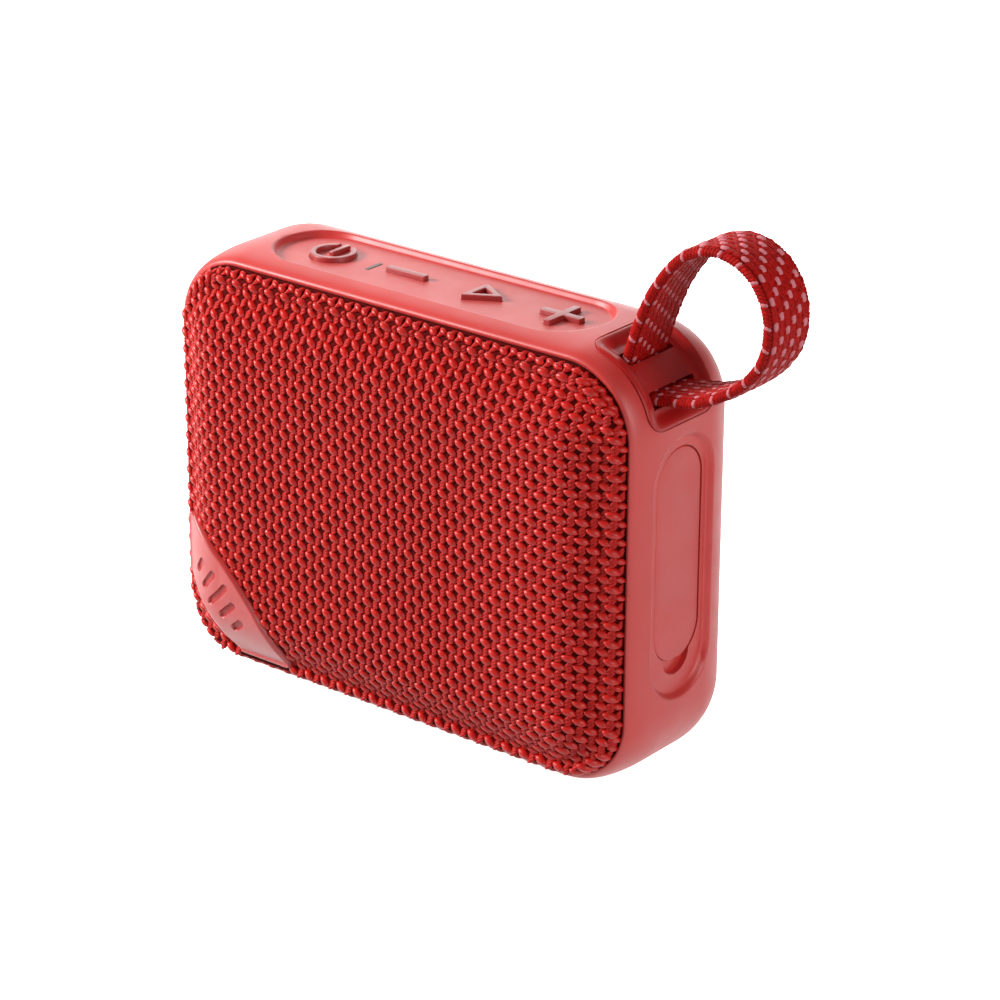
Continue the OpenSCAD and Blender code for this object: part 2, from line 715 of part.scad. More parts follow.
module driver_back_plate() {
  top = plate_front - plate_t - magnet_t;
  color([0.55, 0.56, 0.58]) turned([[0, plate_front], [gap_r[0], plate_front], [gap_r[0], top], [13.4, top],
                                    [13.4, top - 2], [0, top - 2]]);
}

module voice_coil() {
  color([0.75, 0.42, 0.2]) turned([[coil_r[0], plate_front - 4], [coil_r[1], plate_front - 4],
                                   [coil_r[1], 4.2], [coil_r[0], 4.2]]);
}

module driver_cone() {
  color([0.12, 0.12, 0.13]) turned([[coil_r[1], 3.6], [cone_r, flange_front - 0.1],
                                    [cone_r, flange_front + 0.5], [coil_r[1], 4.2]]);
}

module dust_cap() {
  rise = 2.6;
  color([0.2, 0.2, 0.2]) turned(concat(
    [for (i = [0 : 6]) let (t = i/6) [7.4*(1 - t), 4.9 + rise*(1 - pow(1 - t, 2))]],
    [[0, 4.5 + rise], [6.6, 4.7]]));
}

// Half-round rubber roll in [radius, depth], from one radius to another
function roll_section(r0, r1, at, height, t) = let (m = (r0 + r1)/2, h = (r1 - r0)/2) concat(
  [for (i = [0 : 8]) let (a = 180*i/8) [m + h*cos(a), at + height*sin(a) + t]],
  [for (i = [8 : -1 : 0]) let (a = 180*i/8) [m + (h - t)*cos(a), at + (height - t)*sin(a) + t/4]]);

module driver_surround() {
  color([0.07, 0.07, 0.07]) turned(roll_section(cone_r + 0.05, driver_r - 4.4, flange_front, roll_r, 0.4));
}

module driver_spider() {
  color([0.72, 0.6, 0.35]) turned([[coil_r[1] + 0.05, 1.4], [8.4, 1], [10.9, 1.5], [13.6, 1], [13.6, 1.4],
                                   [10.9, 1.9], [8.4, 1.4], [coil_r[1] + 0.05, 1.8]]);
}

// ---- passive radiator ----

module radiator_axis() { upright(0, mid_z) rotate([0, 0, 90]) children(); }

module radiator_frame() {
  color([0.16, 0.05, 0.05]) radiator_axis() translate([0, 0, floor_d - 1]) linear_extrude(2) difference() {
    oval(radiator_h + 2*radiator_rim - gap, radiator_w + 2*radiator_rim - gap);
    oval(radiator_h - 3, radiator_w - 3);
  }
}

module radiator_surround() {
  half = (radiator_w - radiator_h)/2;
  outer = radiator_h/2 - 1.55;
  section = roll_section(outer - radiator_roll, outer, floor_d - 0.9, 1.6, 0.5);
  color([0.09, 0.03, 0.03]) radiator_axis() {
    for (end = [0, 180]) rotate([0, 0, end]) translate([0, half, 0])
      rotate_extrude(angle = 180) polygon(section);
    for (side = [0, 180]) rotate([0, 0, side]) translate([0, half, 0]) rotate([90, 0, 0])
      linear_extrude(2*half) polygon(section);
  }
}

module radiator_plate() {
  inner = radiator_h - 3.2 - 2*radiator_roll;
  color([0.35, 0.08, 0.08]) radiator_axis() translate([0, 0, floor_d - 1]) {
    linear_extrude(1.4) oval(inner, inner + radiator_w - radiator_h);
    linear_extrude(2.2) oval(inner - 8, inner - 8 + radiator_w - radiator_h);
  }
}

main_shell();
baffle();
baffle_seal();
baffle_screws();
grille_panel();
grille_fabric();
badge();
strap_insert();
strap();
base_pad();
power_key();
volume_down_key();
play_key();
volume_up_key();
power_plunger();
volume_down_plunger();
play_plunger();
volume_up_plunger();
key_retainer();
key_board();
key_switches();
key_screws();
light_pipe();
status_led();
port_cover();
cover_tether();
main_board();
board_components();
board_screws();
usb_c_socket();
aux_socket();
card_socket();
battery_cell();
battery_foam();
battery_wires();
key_cable();
driver_wires();
driver_frame();
driver_gasket();
driver_screws();
driver_top_plate();
driver_magnet();
driver_back_plate();
voice_coil();
driver_cone();
dust_cap();
driver_surround();
driver_spider();
radiator_frame();
radiator_surround();
radiator_plate();
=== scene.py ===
"""Looks of the portable speaker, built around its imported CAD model.

Lengths are in millimetres until piece() makes a mesh. The camera's and the lights' are in metres.
"""
import math
import random

import bmesh
import bpy
import numpy as np
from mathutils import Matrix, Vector


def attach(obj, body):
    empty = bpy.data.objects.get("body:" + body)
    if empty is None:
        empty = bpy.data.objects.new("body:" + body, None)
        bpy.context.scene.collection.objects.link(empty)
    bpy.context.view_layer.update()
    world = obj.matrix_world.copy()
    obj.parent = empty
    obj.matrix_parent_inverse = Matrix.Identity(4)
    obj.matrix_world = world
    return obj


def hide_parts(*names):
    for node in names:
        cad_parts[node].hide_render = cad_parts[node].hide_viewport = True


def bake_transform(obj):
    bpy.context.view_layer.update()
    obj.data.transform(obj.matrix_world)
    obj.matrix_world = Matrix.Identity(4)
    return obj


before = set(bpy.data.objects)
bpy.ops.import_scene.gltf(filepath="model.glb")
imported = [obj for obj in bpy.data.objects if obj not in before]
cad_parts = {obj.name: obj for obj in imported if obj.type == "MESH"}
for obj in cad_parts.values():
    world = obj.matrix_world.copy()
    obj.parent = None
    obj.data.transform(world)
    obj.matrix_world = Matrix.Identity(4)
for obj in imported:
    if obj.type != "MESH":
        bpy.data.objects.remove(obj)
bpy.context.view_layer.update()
rng = random.Random(11)
MM = 0.001

# ---- sizes shared with the CAD model, mm ----
W, H, R = 104.0, 80.0, 15.0  # housing seen from the front, and its corner radius
MID_Z, TOP_Z = 40.8, 80.8
HX, HZ = W / 2 - R, H / 2 - R  # centres of the corner arcs, from the middle
CORNER = (HX, TOP_Z - R)
LIP_Y, LIP_LONG, LIP_IN = -13.0, 9.6, 2.0  # the front lip, and how far it curves along Y and inwards
BACK_Y, BACK_R, WALL = 19.4, 12.6, 2.5
FACE_Y, FACE_INSET = -19.4, 2.6  # the cloth's middle, and its outline inside the housing's
CROWN, CROWN_W, CROWN_POWER = 6.4, 17.0, 2.5  # depth, width and sharpness of the cloth's fall to its edge
PANEL_CROWN_W, PANEL_POWER = 12.2, 1.9  # the same of the CAD's panel, which the cloth stays outside
DISH_Z, DISH_X, DISH_SOFT = 79.6, 50.8, 0.9  # floors of the two dishes, and the width of their soft rims
TOP_DISH = (-37, 35, 18.3)  # from, to and width
SIDE_DISH = (16.9, 65.2, 16.8)
KEY_X = (-25.65, -8.55, 8.55, 25.65)
KEY_RISE, KEY_LOW, KEY_GAP = 0.9, 77.4, 0.14  # above the dish, lowest point of a key's stem, gap round it
LIGHT_X = -16.2
COVER_TOP, COVER_H, COVER_W, COVER_GAP = 62.6, 39.0, 12.5, 0.13
COVER_MID = COVER_TOP - COVER_H / 2
NOTCH_R = 3.8  # fingernail notch below the cover
SEAT_FROM, SEAT_TO, SEAT_R = math.radians(6) * R, math.radians(86) * R, 3.6  # along the corner's arc
SEAT_FRONT, SEAT_BACK = -9.5, 8.8
RADIATOR_W, RADIATOR_H = 58, 34  # opening in the back
FOOT_W, FOOT_D, FOOT_TALL = 67.9, 15.9, 1.3
STRAP_ROUTE = [(43.2, 78), (45.4, 84.6), (48.6, 91.4), (54, 97.8), (60.8, 100), (67.2, 97.6), (70.8, 91.6),
               (70.3, 84.2), (65.8, 78.2), (58.4, 73.8), (51, 72.2), (46.8, 71.8), (43.6, 73.4), (42.4, 75.6)]
STRAP_W, STRAP_T = 12.0, 2.2


# ---- camera and light ----
def look(az, el):
    """Unit vector towards a viewpoint, with azimuth 0 in front and 90 on the right."""
    a, e = math.radians(az), math.radians(el)
    return Vector((math.sin(a) * math.cos(e), -math.cos(a) * math.cos(e), math.sin(e)))


cam = bpy.data.objects.new("camera", bpy.data.cameras.new("camera"))
bpy.context.scene.collection.objects.link(cam)
cam.data.sensor_width, cam.data.lens = 36, 130.72
cam.data.shift_x, cam.data.shift_y = 0.04315, -0.01176
cam.data.clip_start, cam.data.clip_end = 0.01, 20
view_back, view_far = look(39.5268, 22.4276), 0.64389
cam.location = Vector((0, 0.0032, 0.0408)) + view_back * view_far
cam.rotation_mode = "QUATERNION"
cam.rotation_quaternion = (-view_back).to_track_quat("-Z", "Y")
bpy.context.scene.camera = cam
bpy.context.scene.view_settings.view_transform = "Standard"


def area_light(name, az, el, dist, size, watts):
    """Round soft light that shines at the speaker."""
    data = bpy.data.lights.new(name, "AREA")
    data.shape, data.size, data.energy = "DISK", size, watts
    o = bpy.data.objects.new(name, data)
    bpy.context.scene.collection.objects.link(o)
    back = look(az, el)
    o.location = Vector((0, 0, 0.04)) + back * dist
    o.rotation_mode = "QUATERNION"
    o.rotation_quaternion = (-back).to_track_quat("-Z", "Y")


area_light("key", -55, 29, 0.5, 0.15, 3.5)
area_light("side", 80, 20, 1.0, 0.5, 4.2)
area_light("back", 215, 24, 0.9, 1.0, 5.0)
world = bpy.data.worlds.new("studio")
bpy.context.scene.world = world
world.use_nodes = True
sky = world.node_tree.nodes["Background"]
sky.inputs["Color"].default_value = (1, 1, 1, 1)
sky.inputs["Strength"].default_value = 0.24


# ---- materials ----
def lin(r, g, b):
    """sRGB 0-255 to linear."""
    return tuple((c / 255 / 12.92) if c <= 10 else ((c / 255 + 0.055) / 1.055) ** 2.4 for c in (r, g, b))


def material(name, rgb, rough=0.45, metal=0.0, var=0.08, var_scale=300, grain=0.15, grain_scale=6000,
             grain_mm=0.01, coat=0.0, sheen=0.0, bands=None, spec=0.5):
    """Procedural finish: cloudy colour change, uneven gloss and a fine grain.

    bands adds fibres or turning marks: their scale, direction and share of the height.
    """
    rough_var = 0.08
    m = bpy.data.materials.new(name)
    m.use_nodes = True
    b = m.node_tree.nodes["Principled BSDF"]
    node, link = m.node_tree.nodes.new, m.node_tree.links.new
    for field, value in (("Metallic", metal), ("Coat Weight", coat), ("Sheen Weight", sheen),
                         ("Sheen Roughness", 0.35), ("Specular IOR Level", spec)):
        b.inputs[field].default_value = value
    tc = node("ShaderNodeTexCoord")

    def noise(scale, detail=3.0):
        n = node("ShaderNodeTexNoise")
        n.inputs["Scale"].default_value = scale
        n.inputs["Detail"].default_value = detail
        link(tc.outputs["Object"], n.inputs["Vector"])
        return n

    cloud = noise(var_scale)
    ramp = node("ShaderNodeValToRGB")
    base = np.array(lin(*rgb))
    ramp.color_ramp.elements[0].position = 0.3
    ramp.color_ramp.elements[1].position = 0.7
    ramp.color_ramp.elements[0].color = (*base * (1 - var), 1)
    ramp.color_ramp.elements[1].color = (*np.clip(base * (1 + var), 0, 1), 1)
    link(cloud.outputs["Fac"], ramp.inputs["Fac"])
    link(ramp.outputs["Color"], b.inputs["Base Color"])
    spots = noise(var_scale * 3.7, 2)
    gloss = node("ShaderNodeMapRange")
    gloss.inputs["To Min"].default_value = max(0.02, rough - rough_var)
    gloss.inputs["To Max"].default_value = min(1, rough + rough_var)
    link(spots.outputs["Fac"], gloss.inputs["Value"])
    link(gloss.outputs["Result"], b.inputs["Roughness"])
    height = noise(grain_scale, 2).outputs["Fac"]
    if bands:
        scale, direction, share = bands
        wave = node("ShaderNodeTexWave")
        wave.bands_direction = direction
        wave.inputs["Scale"].default_value = scale
        wave.inputs["Distortion"].default_value = 1.5
        link(tc.outputs["Object"], wave.inputs["Vector"])
        mix = node("ShaderNodeMix")
        mix.inputs["Factor"].default_value = share
        link(height, mix.inputs[2])
        link(wave.outputs["Fac"], mix.inputs[3])
        height = mix.outputs[0]
    bump = node("ShaderNodeBump")
    bump.inputs["Strength"].default_value = grain
    bump.inputs["Distance"].default_value = grain_mm * MM
    link(height, bump.inputs["Height"])
    link(bump.outputs["Normal"], b.inputs["Normal"])
    return m


CORAL = material("coral_shell", (200, 44, 38), 0.46, var=0.05, var_scale=60, grain=0.35, grain_scale=9000,
    sheen=0.2, spec=0.7)
BADGE = material("badge_coral", (182, 42, 38), 0.42, var=0.05, var_scale=90, grain=0.35, grain_scale=9000,
    sheen=0.3, spec=0.7)
KEY_RED = material("key_red", (158, 30, 28), 0.42, var=0.06, var_scale=200, grain=0.3, grain_scale=8000,
    sheen=0.5, spec=0.8)
INSERT = material("insert_red", (178, 25, 22), 0.42, var=0.07, var_scale=160, grain=0.5, grain_scale=5000,
    spec=0.35)
# the cloth's ground is a near-black red: painted shade in the gaps between the floats
SHADED_GROUND = material("grille_ground_painted_shade", (84, 4, 3), 0.9, var=0.3, var_scale=900, grain=0.9, grain_scale=3500,
    grain_mm=0.2, spec=0.1)
BEAD = material("grille_yarn", (200, 28, 20), 0.36, var=0.14, var_scale=700, grain=0.5, grain_scale=5200,
    grain_mm=0.03, spec=0.35)
TWIST = material("grille_twist", (186, 24, 18), 0.5, var=0.2, var_scale=1200, grain=0.3, grain_scale=5200,
    grain_mm=0.03, spec=0.2)
STRAP_RED = material("strap_red", (176, 20, 16), 0.55, var=0.28, var_scale=1500, grain=0.9,
    grain_scale=5200, grain_mm=0.12, spec=0.06)
STRAP_DARK = material("strap_core", (118, 7, 6), 0.8, var=0.25, var_scale=1500, grain=0.9, grain_scale=4200,
    grain_mm=0.15, spec=0.06)
STRAP_PINK = material("strap_fleck", (222, 130, 138), 0.5, var=0.12, var_scale=2500, grain=0.9,
    grain_scale=6000, grain_mm=0.08, spec=0.08)
RUBBER = material("red_rubber", (64, 18, 18), 0.68, var=0.1, var_scale=400, grain=0.5, grain_scale=4000,
    grain_mm=0.03)
ROLL = material("radiator_rubber", (30, 10, 10), 0.5, var=0.12, var_scale=400, grain=0.4, grain_scale=4000)
PLATE = material("radiator_red", (120, 18, 18), 0.38, var=0.07, var_scale=200, grain=0.6, grain_scale=700,
    coat=0.2)


# ---- mesh helpers ----
def piece(name, verts, faces, mat, sharp=35, index=None):
    """A mesh object from points in mm. mat is one material or a list, with index giving each face's."""
    me = bpy.data.meshes.new(name)
    me.from_pydata((np.asarray(verts, float) * MM).tolist(), [], [tuple(int(i) for i in f) for f in faces])
    for m in mat if isinstance(mat, (list, tuple)) else [mat]:
        me.materials.append(m)
    if index is not None:
        me.polygons.foreach_set("material_index", np.asarray(index, np.int32))
    me.polygons.foreach_set("use_smooth", [True] * len(me.polygons))
    me.validate()
    me.update()
    if sharp:
        me.set_sharp_from_angle(angle=math.radians(sharp))
    o = bpy.data.objects.new(name, me)
    bpy.context.scene.collection.objects.link(o)
    return o


def grid_faces(rows, cols, wrap_rows=False, wrap_cols=False, flip=False, start=0):
    """Faces of a grid of points stored row by row, open or closed in either direction."""
    out = []
    for r in range(rows if wrap_rows else rows - 1):
        r2 = (r + 1) % rows
        for c in range(cols if wrap_cols else cols - 1):
            c2 = (c + 1) % cols
            f = (start + r * cols + c, start + r * cols + c2, start + r2 * cols + c2, start + r2 * cols + c)
            out.append(f[::-1] if flip else f)
    return out


def rounded_grid(nu, nv, hx, hy, r):
    """A grid over a box, with its corners pulled in along concentric rounded boxes.

    Gives x, y and the share of the way out from the middle.
    """
    u, v = np.meshgrid(np.linspace(-1, 1, nu), np.linspace(-1, 1, nv), indexing="ij")
    out = np.maximum(np.abs(u), np.abs(v))
    x, y, rad = u * hx, v * hy, r * out
    bx, by = hx * out - rad, hy * out - rad
    qx, qy = np.abs(x) - bx, np.abs(y) - by
    corner = (qx > 0) & (qy > 0)
    pull = np.where(corner, np.maximum(qx, qy) / np.maximum(np.hypot(qx, qy), 1e-9), 1)
    x = np.where(corner, np.sign(x) * (bx + qx * pull), x)
    y = np.where(corner, np.sign(y) * (by + qy * pull), y)
    return x, y, out


def slab_faces(nu, nv):
    """Faces of a plate: one grid on top, the same grid below, and its sides."""
    n = nu * nv
    faces = grid_faces(nu, nv) + grid_faces(nu, nv, flip=True, start=n)
    ring = [i * nv for i in range(nu)] + [(nu - 1) * nv + j for j in range(1, nv)] \
        + [i * nv + nv - 1 for i in range(nu - 2, -1, -1)] + [j for j in range(nv - 2, 0, -1)]
    for k, a in enumerate(ring):
        b = ring[(k + 1) % len(ring)]
        faces.append((a, n + a, n + b, b))
    return faces


class Build:
    """Collects points and faces of several bodies for one mesh."""

    def __init__(self):
        self.v, self.f, self.m = [], [], []
        self.n = 0

    def add(self, verts, faces, m=0):
        verts = np.asarray(verts, float)
        self.v.append(verts)
        self.f.extend(tuple(i + self.n for i in f) for f in faces)
        self.m.extend([m] * len(faces))
        self.n += len(verts)

    def piece(self, name, mat, **kw):
        return piece(name, np.concatenate(self.v), self.f, mat, index=self.m, **kw)


def flip_to_outside(o):
    """Makes the faces of a closed mesh point outwards."""
    bm = bmesh.new()
    bm.from_mesh(o.data)
    bmesh.ops.recalc_face_normals(bm, faces=bm.faces)
    bm.to_mesh(o.data)
    bm.free()
    return o


def boolean(target, other, how="DIFFERENCE", sharp=35):
    """Applies an exact boolean and removes the other object."""
    flip_to_outside(other)
    mod = target.modifiers.new("cut", "BOOLEAN")
    mod.operation, mod.solver, mod.object = how, "EXACT", other
    me = bpy.data.meshes.new_from_object(target.evaluated_get(bpy.context.evaluated_depsgraph_get()))
    target.modifiers.clear()
    target.data = me
    bpy.data.objects.remove(other)
    me.polygons.foreach_set("use_smooth", [True] * len(me.polygons))
    me.set_sharp_from_angle(angle=math.radians(sharp))
    return target


def round_poly(points, r, steps=5):
    """Rounds the corners of a closed 2D polygon."""
    out, n = [], len(points)
    for i in range(n):
        p, a, b = (np.array(points[k % n], float) for k in (i, i - 1, i + 1))
        u, v = a - p, b - p
        lu, lv = np.linalg.norm(u), np.linalg.norm(v)
        u, v = u / lu, v / lv
        half = math.acos(max(-1, min(1, float(u @ v)))) / 2
        d = min(r / math.tan(half), 0.49 * min(lu, lv))
        q, s = p + u * d, p + v * d
        for k in range(steps + 1):
            t = k / steps
            out.append((1 - t) ** 2 * q + 2 * t * (1 - t) * p + t * t * s)
    return np.array(out)


def inward(poly, d):
    """Moves a counter-clockwise 2D polygon's points inwards."""
    t = np.roll(poly, -1, 0) - np.roll(poly, 1, 0)
    t /= np.maximum(np.linalg.norm(t, axis=1), 1e-9)[:, None]
    return poly + d * np.stack([-t[:, 1], t[:, 0]], 1)


def circle(r, n=64, at=(0, 0), a0=0.0, a1=360.0, closed=True):
    """n points of a circle, or of an arc when closed is False."""
    t = np.radians(np.linspace(a0, a1, n, endpoint=not closed))
    return np.stack([at[0] + r * np.cos(t), at[1] + r * np.sin(t)], 1)


def stadium(w, h, n=24):
    """Counter-clockwise shape with two round ends; the long way is the second axis."""
    r, s = w / 2, (h - w) / 2
    top = circle(r, n, (0, s), 0, 180, False)
    bottom = circle(r, n, (0, -s), 180, 360, False)
    return np.concatenate([top, bottom])


def lying_stadium(w, h, n=24):
    """The same with its long way along the first axis."""
    return stadium(h, w, n)[:, ::-1][::-1]


def end_caps(rings, n):
    """Faces that close both ends of a tube of rings with n points each."""
    return [tuple(range(n))[::-1], tuple((rings - 1) * n + i for i in range(n))]


def stacked(outlines):
    """Points of outlines that each lie at their own height."""
    return np.concatenate([np.column_stack([p, np.full(len(p), z)]) for p, z in outlines])


def at_y(p, y):
    """3D points of an (x, z) outline at y."""
    return np.column_stack([p[:, 0], np.full(len(p), y), p[:, 1]])


def rounded_edge(poly, z, r, steps):
    """Outlines that round the top edge of a shape whose top is at z."""
    rings = []
    for k in range(steps + 1):
        a = math.pi / 2 * k / steps
        rings.append((inward(poly, r * (1 - math.cos(a))) if k else poly, z - r + r * math.sin(a)))
    return rings


def prism(build, poly, z0, z1, place, bevel=0.15, steps=3, m=0, bottom_bevel=0.0):
    """Closed prism on a counter-clockwise polygon, with a rounded top edge.

    place turns (u, v, w) points into part points.
    """
    rings = []
    if bottom_bevel:
        rings.append((inward(poly, bottom_bevel), z0))
    rings.append((poly, z0 + bottom_bevel))
    rings += rounded_edge(poly, z1, bevel, steps)
    n = len(poly)
    build.add(place(stacked(rings)), grid_faces(len(rings), n, wrap_cols=True) + end_caps(len(rings), n), m)


def cutter(build, poly, z0, z1, place):
    """Prism that only cuts, with sharp edges."""
    prism(build, poly, z0, z1, place, 0.01, 1)


def on_top(x=0.0, y=0.0):
    """u to the right, v to the back, w up."""
    return lambda p: p + np.array([x, y, 0])


def on_side(z=0.0):
    """u to the back, v up, w to the right."""
    return lambda p: np.column_stack([p[:, 2], p[:, 0], p[:, 1] + z])


# ---- housing ----
def steps_of(stops):
    """Even values for stops of (from, to, longest step) that follow each other, without repeats."""
    out = []
    for a, b, step in stops:
        out.extend(np.linspace(a, b, max(2, math.ceil(abs(b - a) / step) + 1))[:-1])
    out.append(stops[-1][1])
    return out


def outline():
    """Points (x, z), outward normals and matching places on the radiator's stadium, round the housing.

    A place is an angle in degrees on the round ends, or a side and a share of the straight length.
    """
    pts, nrm, ang = [], [], []
    steps = 22
    low_z, high_z = MID_Z - HZ, MID_Z + HZ

    def add(x, z, nx, nz, place):
        pts.append((x, z))
        nrm.append((nx, nz))
        ang.append(place)

    def corner(cx, cz, a0, s0):
        for k in range(1, steps):
            a = math.radians(a0 + 90 * k / steps)
            add(cx + R * math.cos(a), cz + R * math.sin(a), math.cos(a), math.sin(a), s0 + 45 * k / steps)

    for x in steps_of([(-HX, HX, 2.0)]):
        add(x, MID_Z - H / 2, 0, -1, ("b", x / HX))
    corner(HX, low_z, -90, -90)
    # close steps where the round ends of the dishes run
    for z in steps_of([(low_z, 16.8, 0.5), (16.8, 25.6, 0.24), (25.6, 56.4, 1.2), (56.4, 65.3, 0.24),
                       (65.3, high_z, 0.5)]):
        add(W / 2, z, 1, 0, 45 * (z - MID_Z) / HZ)
    corner(HX, high_z, 0, 45)
    for x in steps_of([(HX, 35.1, 0.5), (35.1, 25.8, 0.24), (25.8, -27.8, 1.5), (-27.8, -HX, 0.24)]):
        add(x, TOP_Z, 0, 1, ("t", x / HX))
    corner(-HX, high_z, 90, 90)
    for z in steps_of([(high_z, low_z, 2.0)]):
        add(-W / 2, z, -1, 0, 180 - 45 * (z - MID_Z) / HZ)
    corner(-HX, low_z, 180, 225)
    return np.array(pts), np.array(nrm, float), ang


def stadium_at(ang, w, h):
    """Matching points on a lying stadium w by h round the radiator's axis."""
    r, s = h / 2, (w - h) / 2
    out = []
    for a in ang:
        if isinstance(a, tuple):
            out.append((a[1] * s, MID_Z + (r if a[0] == "t" else -r)))
        else:
            c, q = math.cos(math.radians(a)), math.sin(math.radians(a))
            out.append(((s if c > 0 else -s) + r * c, MID_Z + r * q))
    return np.array(out)


def smooth_step(t):
    t = np.clip(t, 0, 1)
    return t * t * (3 - 2 * t)


def in_stadium(u, v, u0, u1, w):
    """Distance inside a stadium along u from u0 to u1, w wide in v."""
    r = w / 2
    du = np.maximum(np.maximum(u0 + r - u, u - (u1 - r)), 0)
    return r - np.hypot(du, v)


def housing():
    """Hollow box with a front lip, an opening for the radiator, two dishes and the holes in them."""
    pts, nrm, ang = outline()
    n = len(pts)
    rows = []
    lip_end, back_start = LIP_Y + LIP_LONG, BACK_Y - BACK_R

    def ring(inset, y):
        rows.append(at_y(pts - inset * nrm, y))

    def opening(grow, y):
        rows.append(at_y(stadium_at(ang, RADIATOR_W + 2 * grow, RADIATOR_H + 2 * grow), y))

    def inset_at(y):
        if y < lip_end:
            return LIP_IN * (1 - math.sqrt(max(0, 1 - ((lip_end - y) / LIP_LONG) ** 2)))
        if y > back_start:
            return BACK_R * (1 - math.sqrt(max(0, 1 - ((y - BACK_Y + BACK_R) / BACK_R) ** 2)))
        return 0

    def blend_rows(start, end, shares):
        for t in shares:
            rows.append(start * (1 - t) + end * t)

    # outer side from the lip to the back, with close rows where the dishes' rims run
    front = [lip_end - LIP_LONG * math.sin(math.radians(a)) for a in np.linspace(90, 43.5, 15)][:-1]
    back = [back_start + BACK_R * math.sin(math.radians(a)) for a in np.linspace(14.2, 90, 26)][1:]
    for y in front + steps_of([(-10.0, -7.0, 0.16), (-7.0, 7.0, 0.5), (7.0, 9.9, 0.16)]) + back:
        ring(inset_at(y), y)
    outer = len(rows)
    # flat back, the rounded rim of the radiator's opening and its seat
    rim = 0.5
    opening(rim, BACK_Y)
    blend_rows(rows[-2], rows.pop(), (0.25, 0.5, 0.75, 0.92, 1))
    for k in (1, 2, 3, 4):
        q = math.pi / 2 * k / 4
        opening(rim - rim * math.sin(q), BACK_Y - rim + rim * math.cos(q))
    opening(0, 17.9)
    opening(1.5, 17.9)
    opening(1.5, 16.9)
    # inside of the wall, back to the lip
    inner_r = BACK_R - WALL
    ring(WALL + inner_r, 16.9)
    blend_rows(rows[-2], rows.pop(), (0.33, 0.66))
    for q in np.radians(np.linspace(90, 0, 9)):
        ring(WALL + inner_r * (1 - math.cos(q)), back_start + inner_r * math.sin(q))
    for less, y in ((0, 0), (0, -6), (0, -11), (0, -12.6), (0.05, -12.85), (0.16, -12.97)):
        ring(WALL - less, y)
    v = np.concatenate(rows)
    # the dishes for the keys and for the side cover
    x, y, z = v[:, 0], v[:, 1], v[:, 2]
    shown = np.arange(len(v)) < outer * n
    top = shown & (np.abs(np.tile(nrm[:, 1], len(rows)) - 1) < 1e-6)
    t = smooth_step(in_stadium(x, y, *TOP_DISH) / DISH_SOFT)
    z[:] = np.where(top & (z > DISH_Z), z * (1 - t) + DISH_Z * t, z)
    side = shown & (np.abs(np.tile(nrm[:, 0], len(rows)) - 1) < 1e-6)
    t = smooth_step(in_stadium(z, y, *SIDE_DISH) / DISH_SOFT)
    x[:] = np.where(side & (x > DISH_X), x * (1 - t) + DISH_X * t, x)
    v = np.column_stack([x, y, z])
    o = flip_to_outside(piece("speaker_housing", v, grid_faces(len(rows), n, True, True), CORAL))
    # the cutters of one boolean mustn't overlap, so the notch and the strap's seat come second
    cut = Build()
    above, below = 83.0, 77.0
    for kind, x in enumerate(KEY_X):
        cutter(cut, key_outline(kind, KEY_GAP), below, above, on_top(x))
    cutter(cut, rectangle(0.9, 4.1, 0.25), below, above, on_top(LIGHT_X))
    cut_cover(cut)
    cutter(cut, lying_stadium(FOOT_W + 0.06, FOOT_D + 0.06, 40), -0.5, FOOT_TALL, on_top())
    boolean(o, cut.piece("cut_a", CORAL), sharp=50)
    cut = Build()
    cutter(cut, circle(NOTCH_R, 48), 49.6, 54.0, on_side(24.8))
    seat_sector(cut, 11.9, 18.0)
    return boolean(o, cut.piece("cut_b", CORAL), sharp=50)


def cut_cover(build):
    """Room for the side cover in the wall and in the block behind it."""
    shape = stadium(COVER_W + 2 * COVER_GAP, COVER_H + 2 * COVER_GAP, 40)
    cutter(build, shape, 48.6, 54.0, on_side(COVER_MID))


def rectangle(w, h, r):
    """Rounded rectangle about the middle."""
    return round_poly([(-w / 2, -h / 2), (w / 2, -h / 2), (w / 2, h / 2), (-w / 2, h / 2)], r)


def triangle(reach, r):
    """Rounded triangle that points to the right."""
    return round_poly(circle(reach, 3), r)


def key_outline(kind, grow=0.0):
    """The outline of a key's raised symbol: power disc, minus, triangle or plus."""
    if kind == 0:
        return circle(4.2 + grow, 72)
    if kind == 1:
        return rectangle(8.7 + 2 * grow, 1.4 + 2 * grow, 0.22 + grow)
    if kind == 2:
        return triangle(4.3 + 2 * grow, 0.25 + grow)
    a, b = 4.35 + grow, 0.75 + grow
    return round_poly([(-a, -b), (-b, -b), (-b, -a), (b, -a), (b, -b), (a, -b),
                       (a, b), (b, b), (b, a), (-b, a), (-b, b), (-a, b)], 0.3)


def on_corner(s, y, r):
    """Points at a distance along the corner's arc, at y and at radius r."""
    a = s / R
    return np.column_stack([CORNER[0] + r * np.cos(a), y, CORNER[1] + r * np.sin(a)])


def bent_box(build, s, corners):
    """Closed bar bent round the corner. corners is four (y, r) pairs, each a number or one value per step."""
    n = len(s)
    v = np.concatenate([on_corner(s, np.broadcast_to(y, n), r) for y, r in corners])
    faces = []
    for i in range(n - 1):
        for k in range(4):
            j = (k + 1) % 4
            faces.append((k * n + i, k * n + i + 1, j * n + i + 1, j * n + i))
    faces.append((0, n, 2 * n, 3 * n))
    faces.append((n - 1, 4 * n - 1, 3 * n - 1, 2 * n - 1))
    build.add(v, faces)


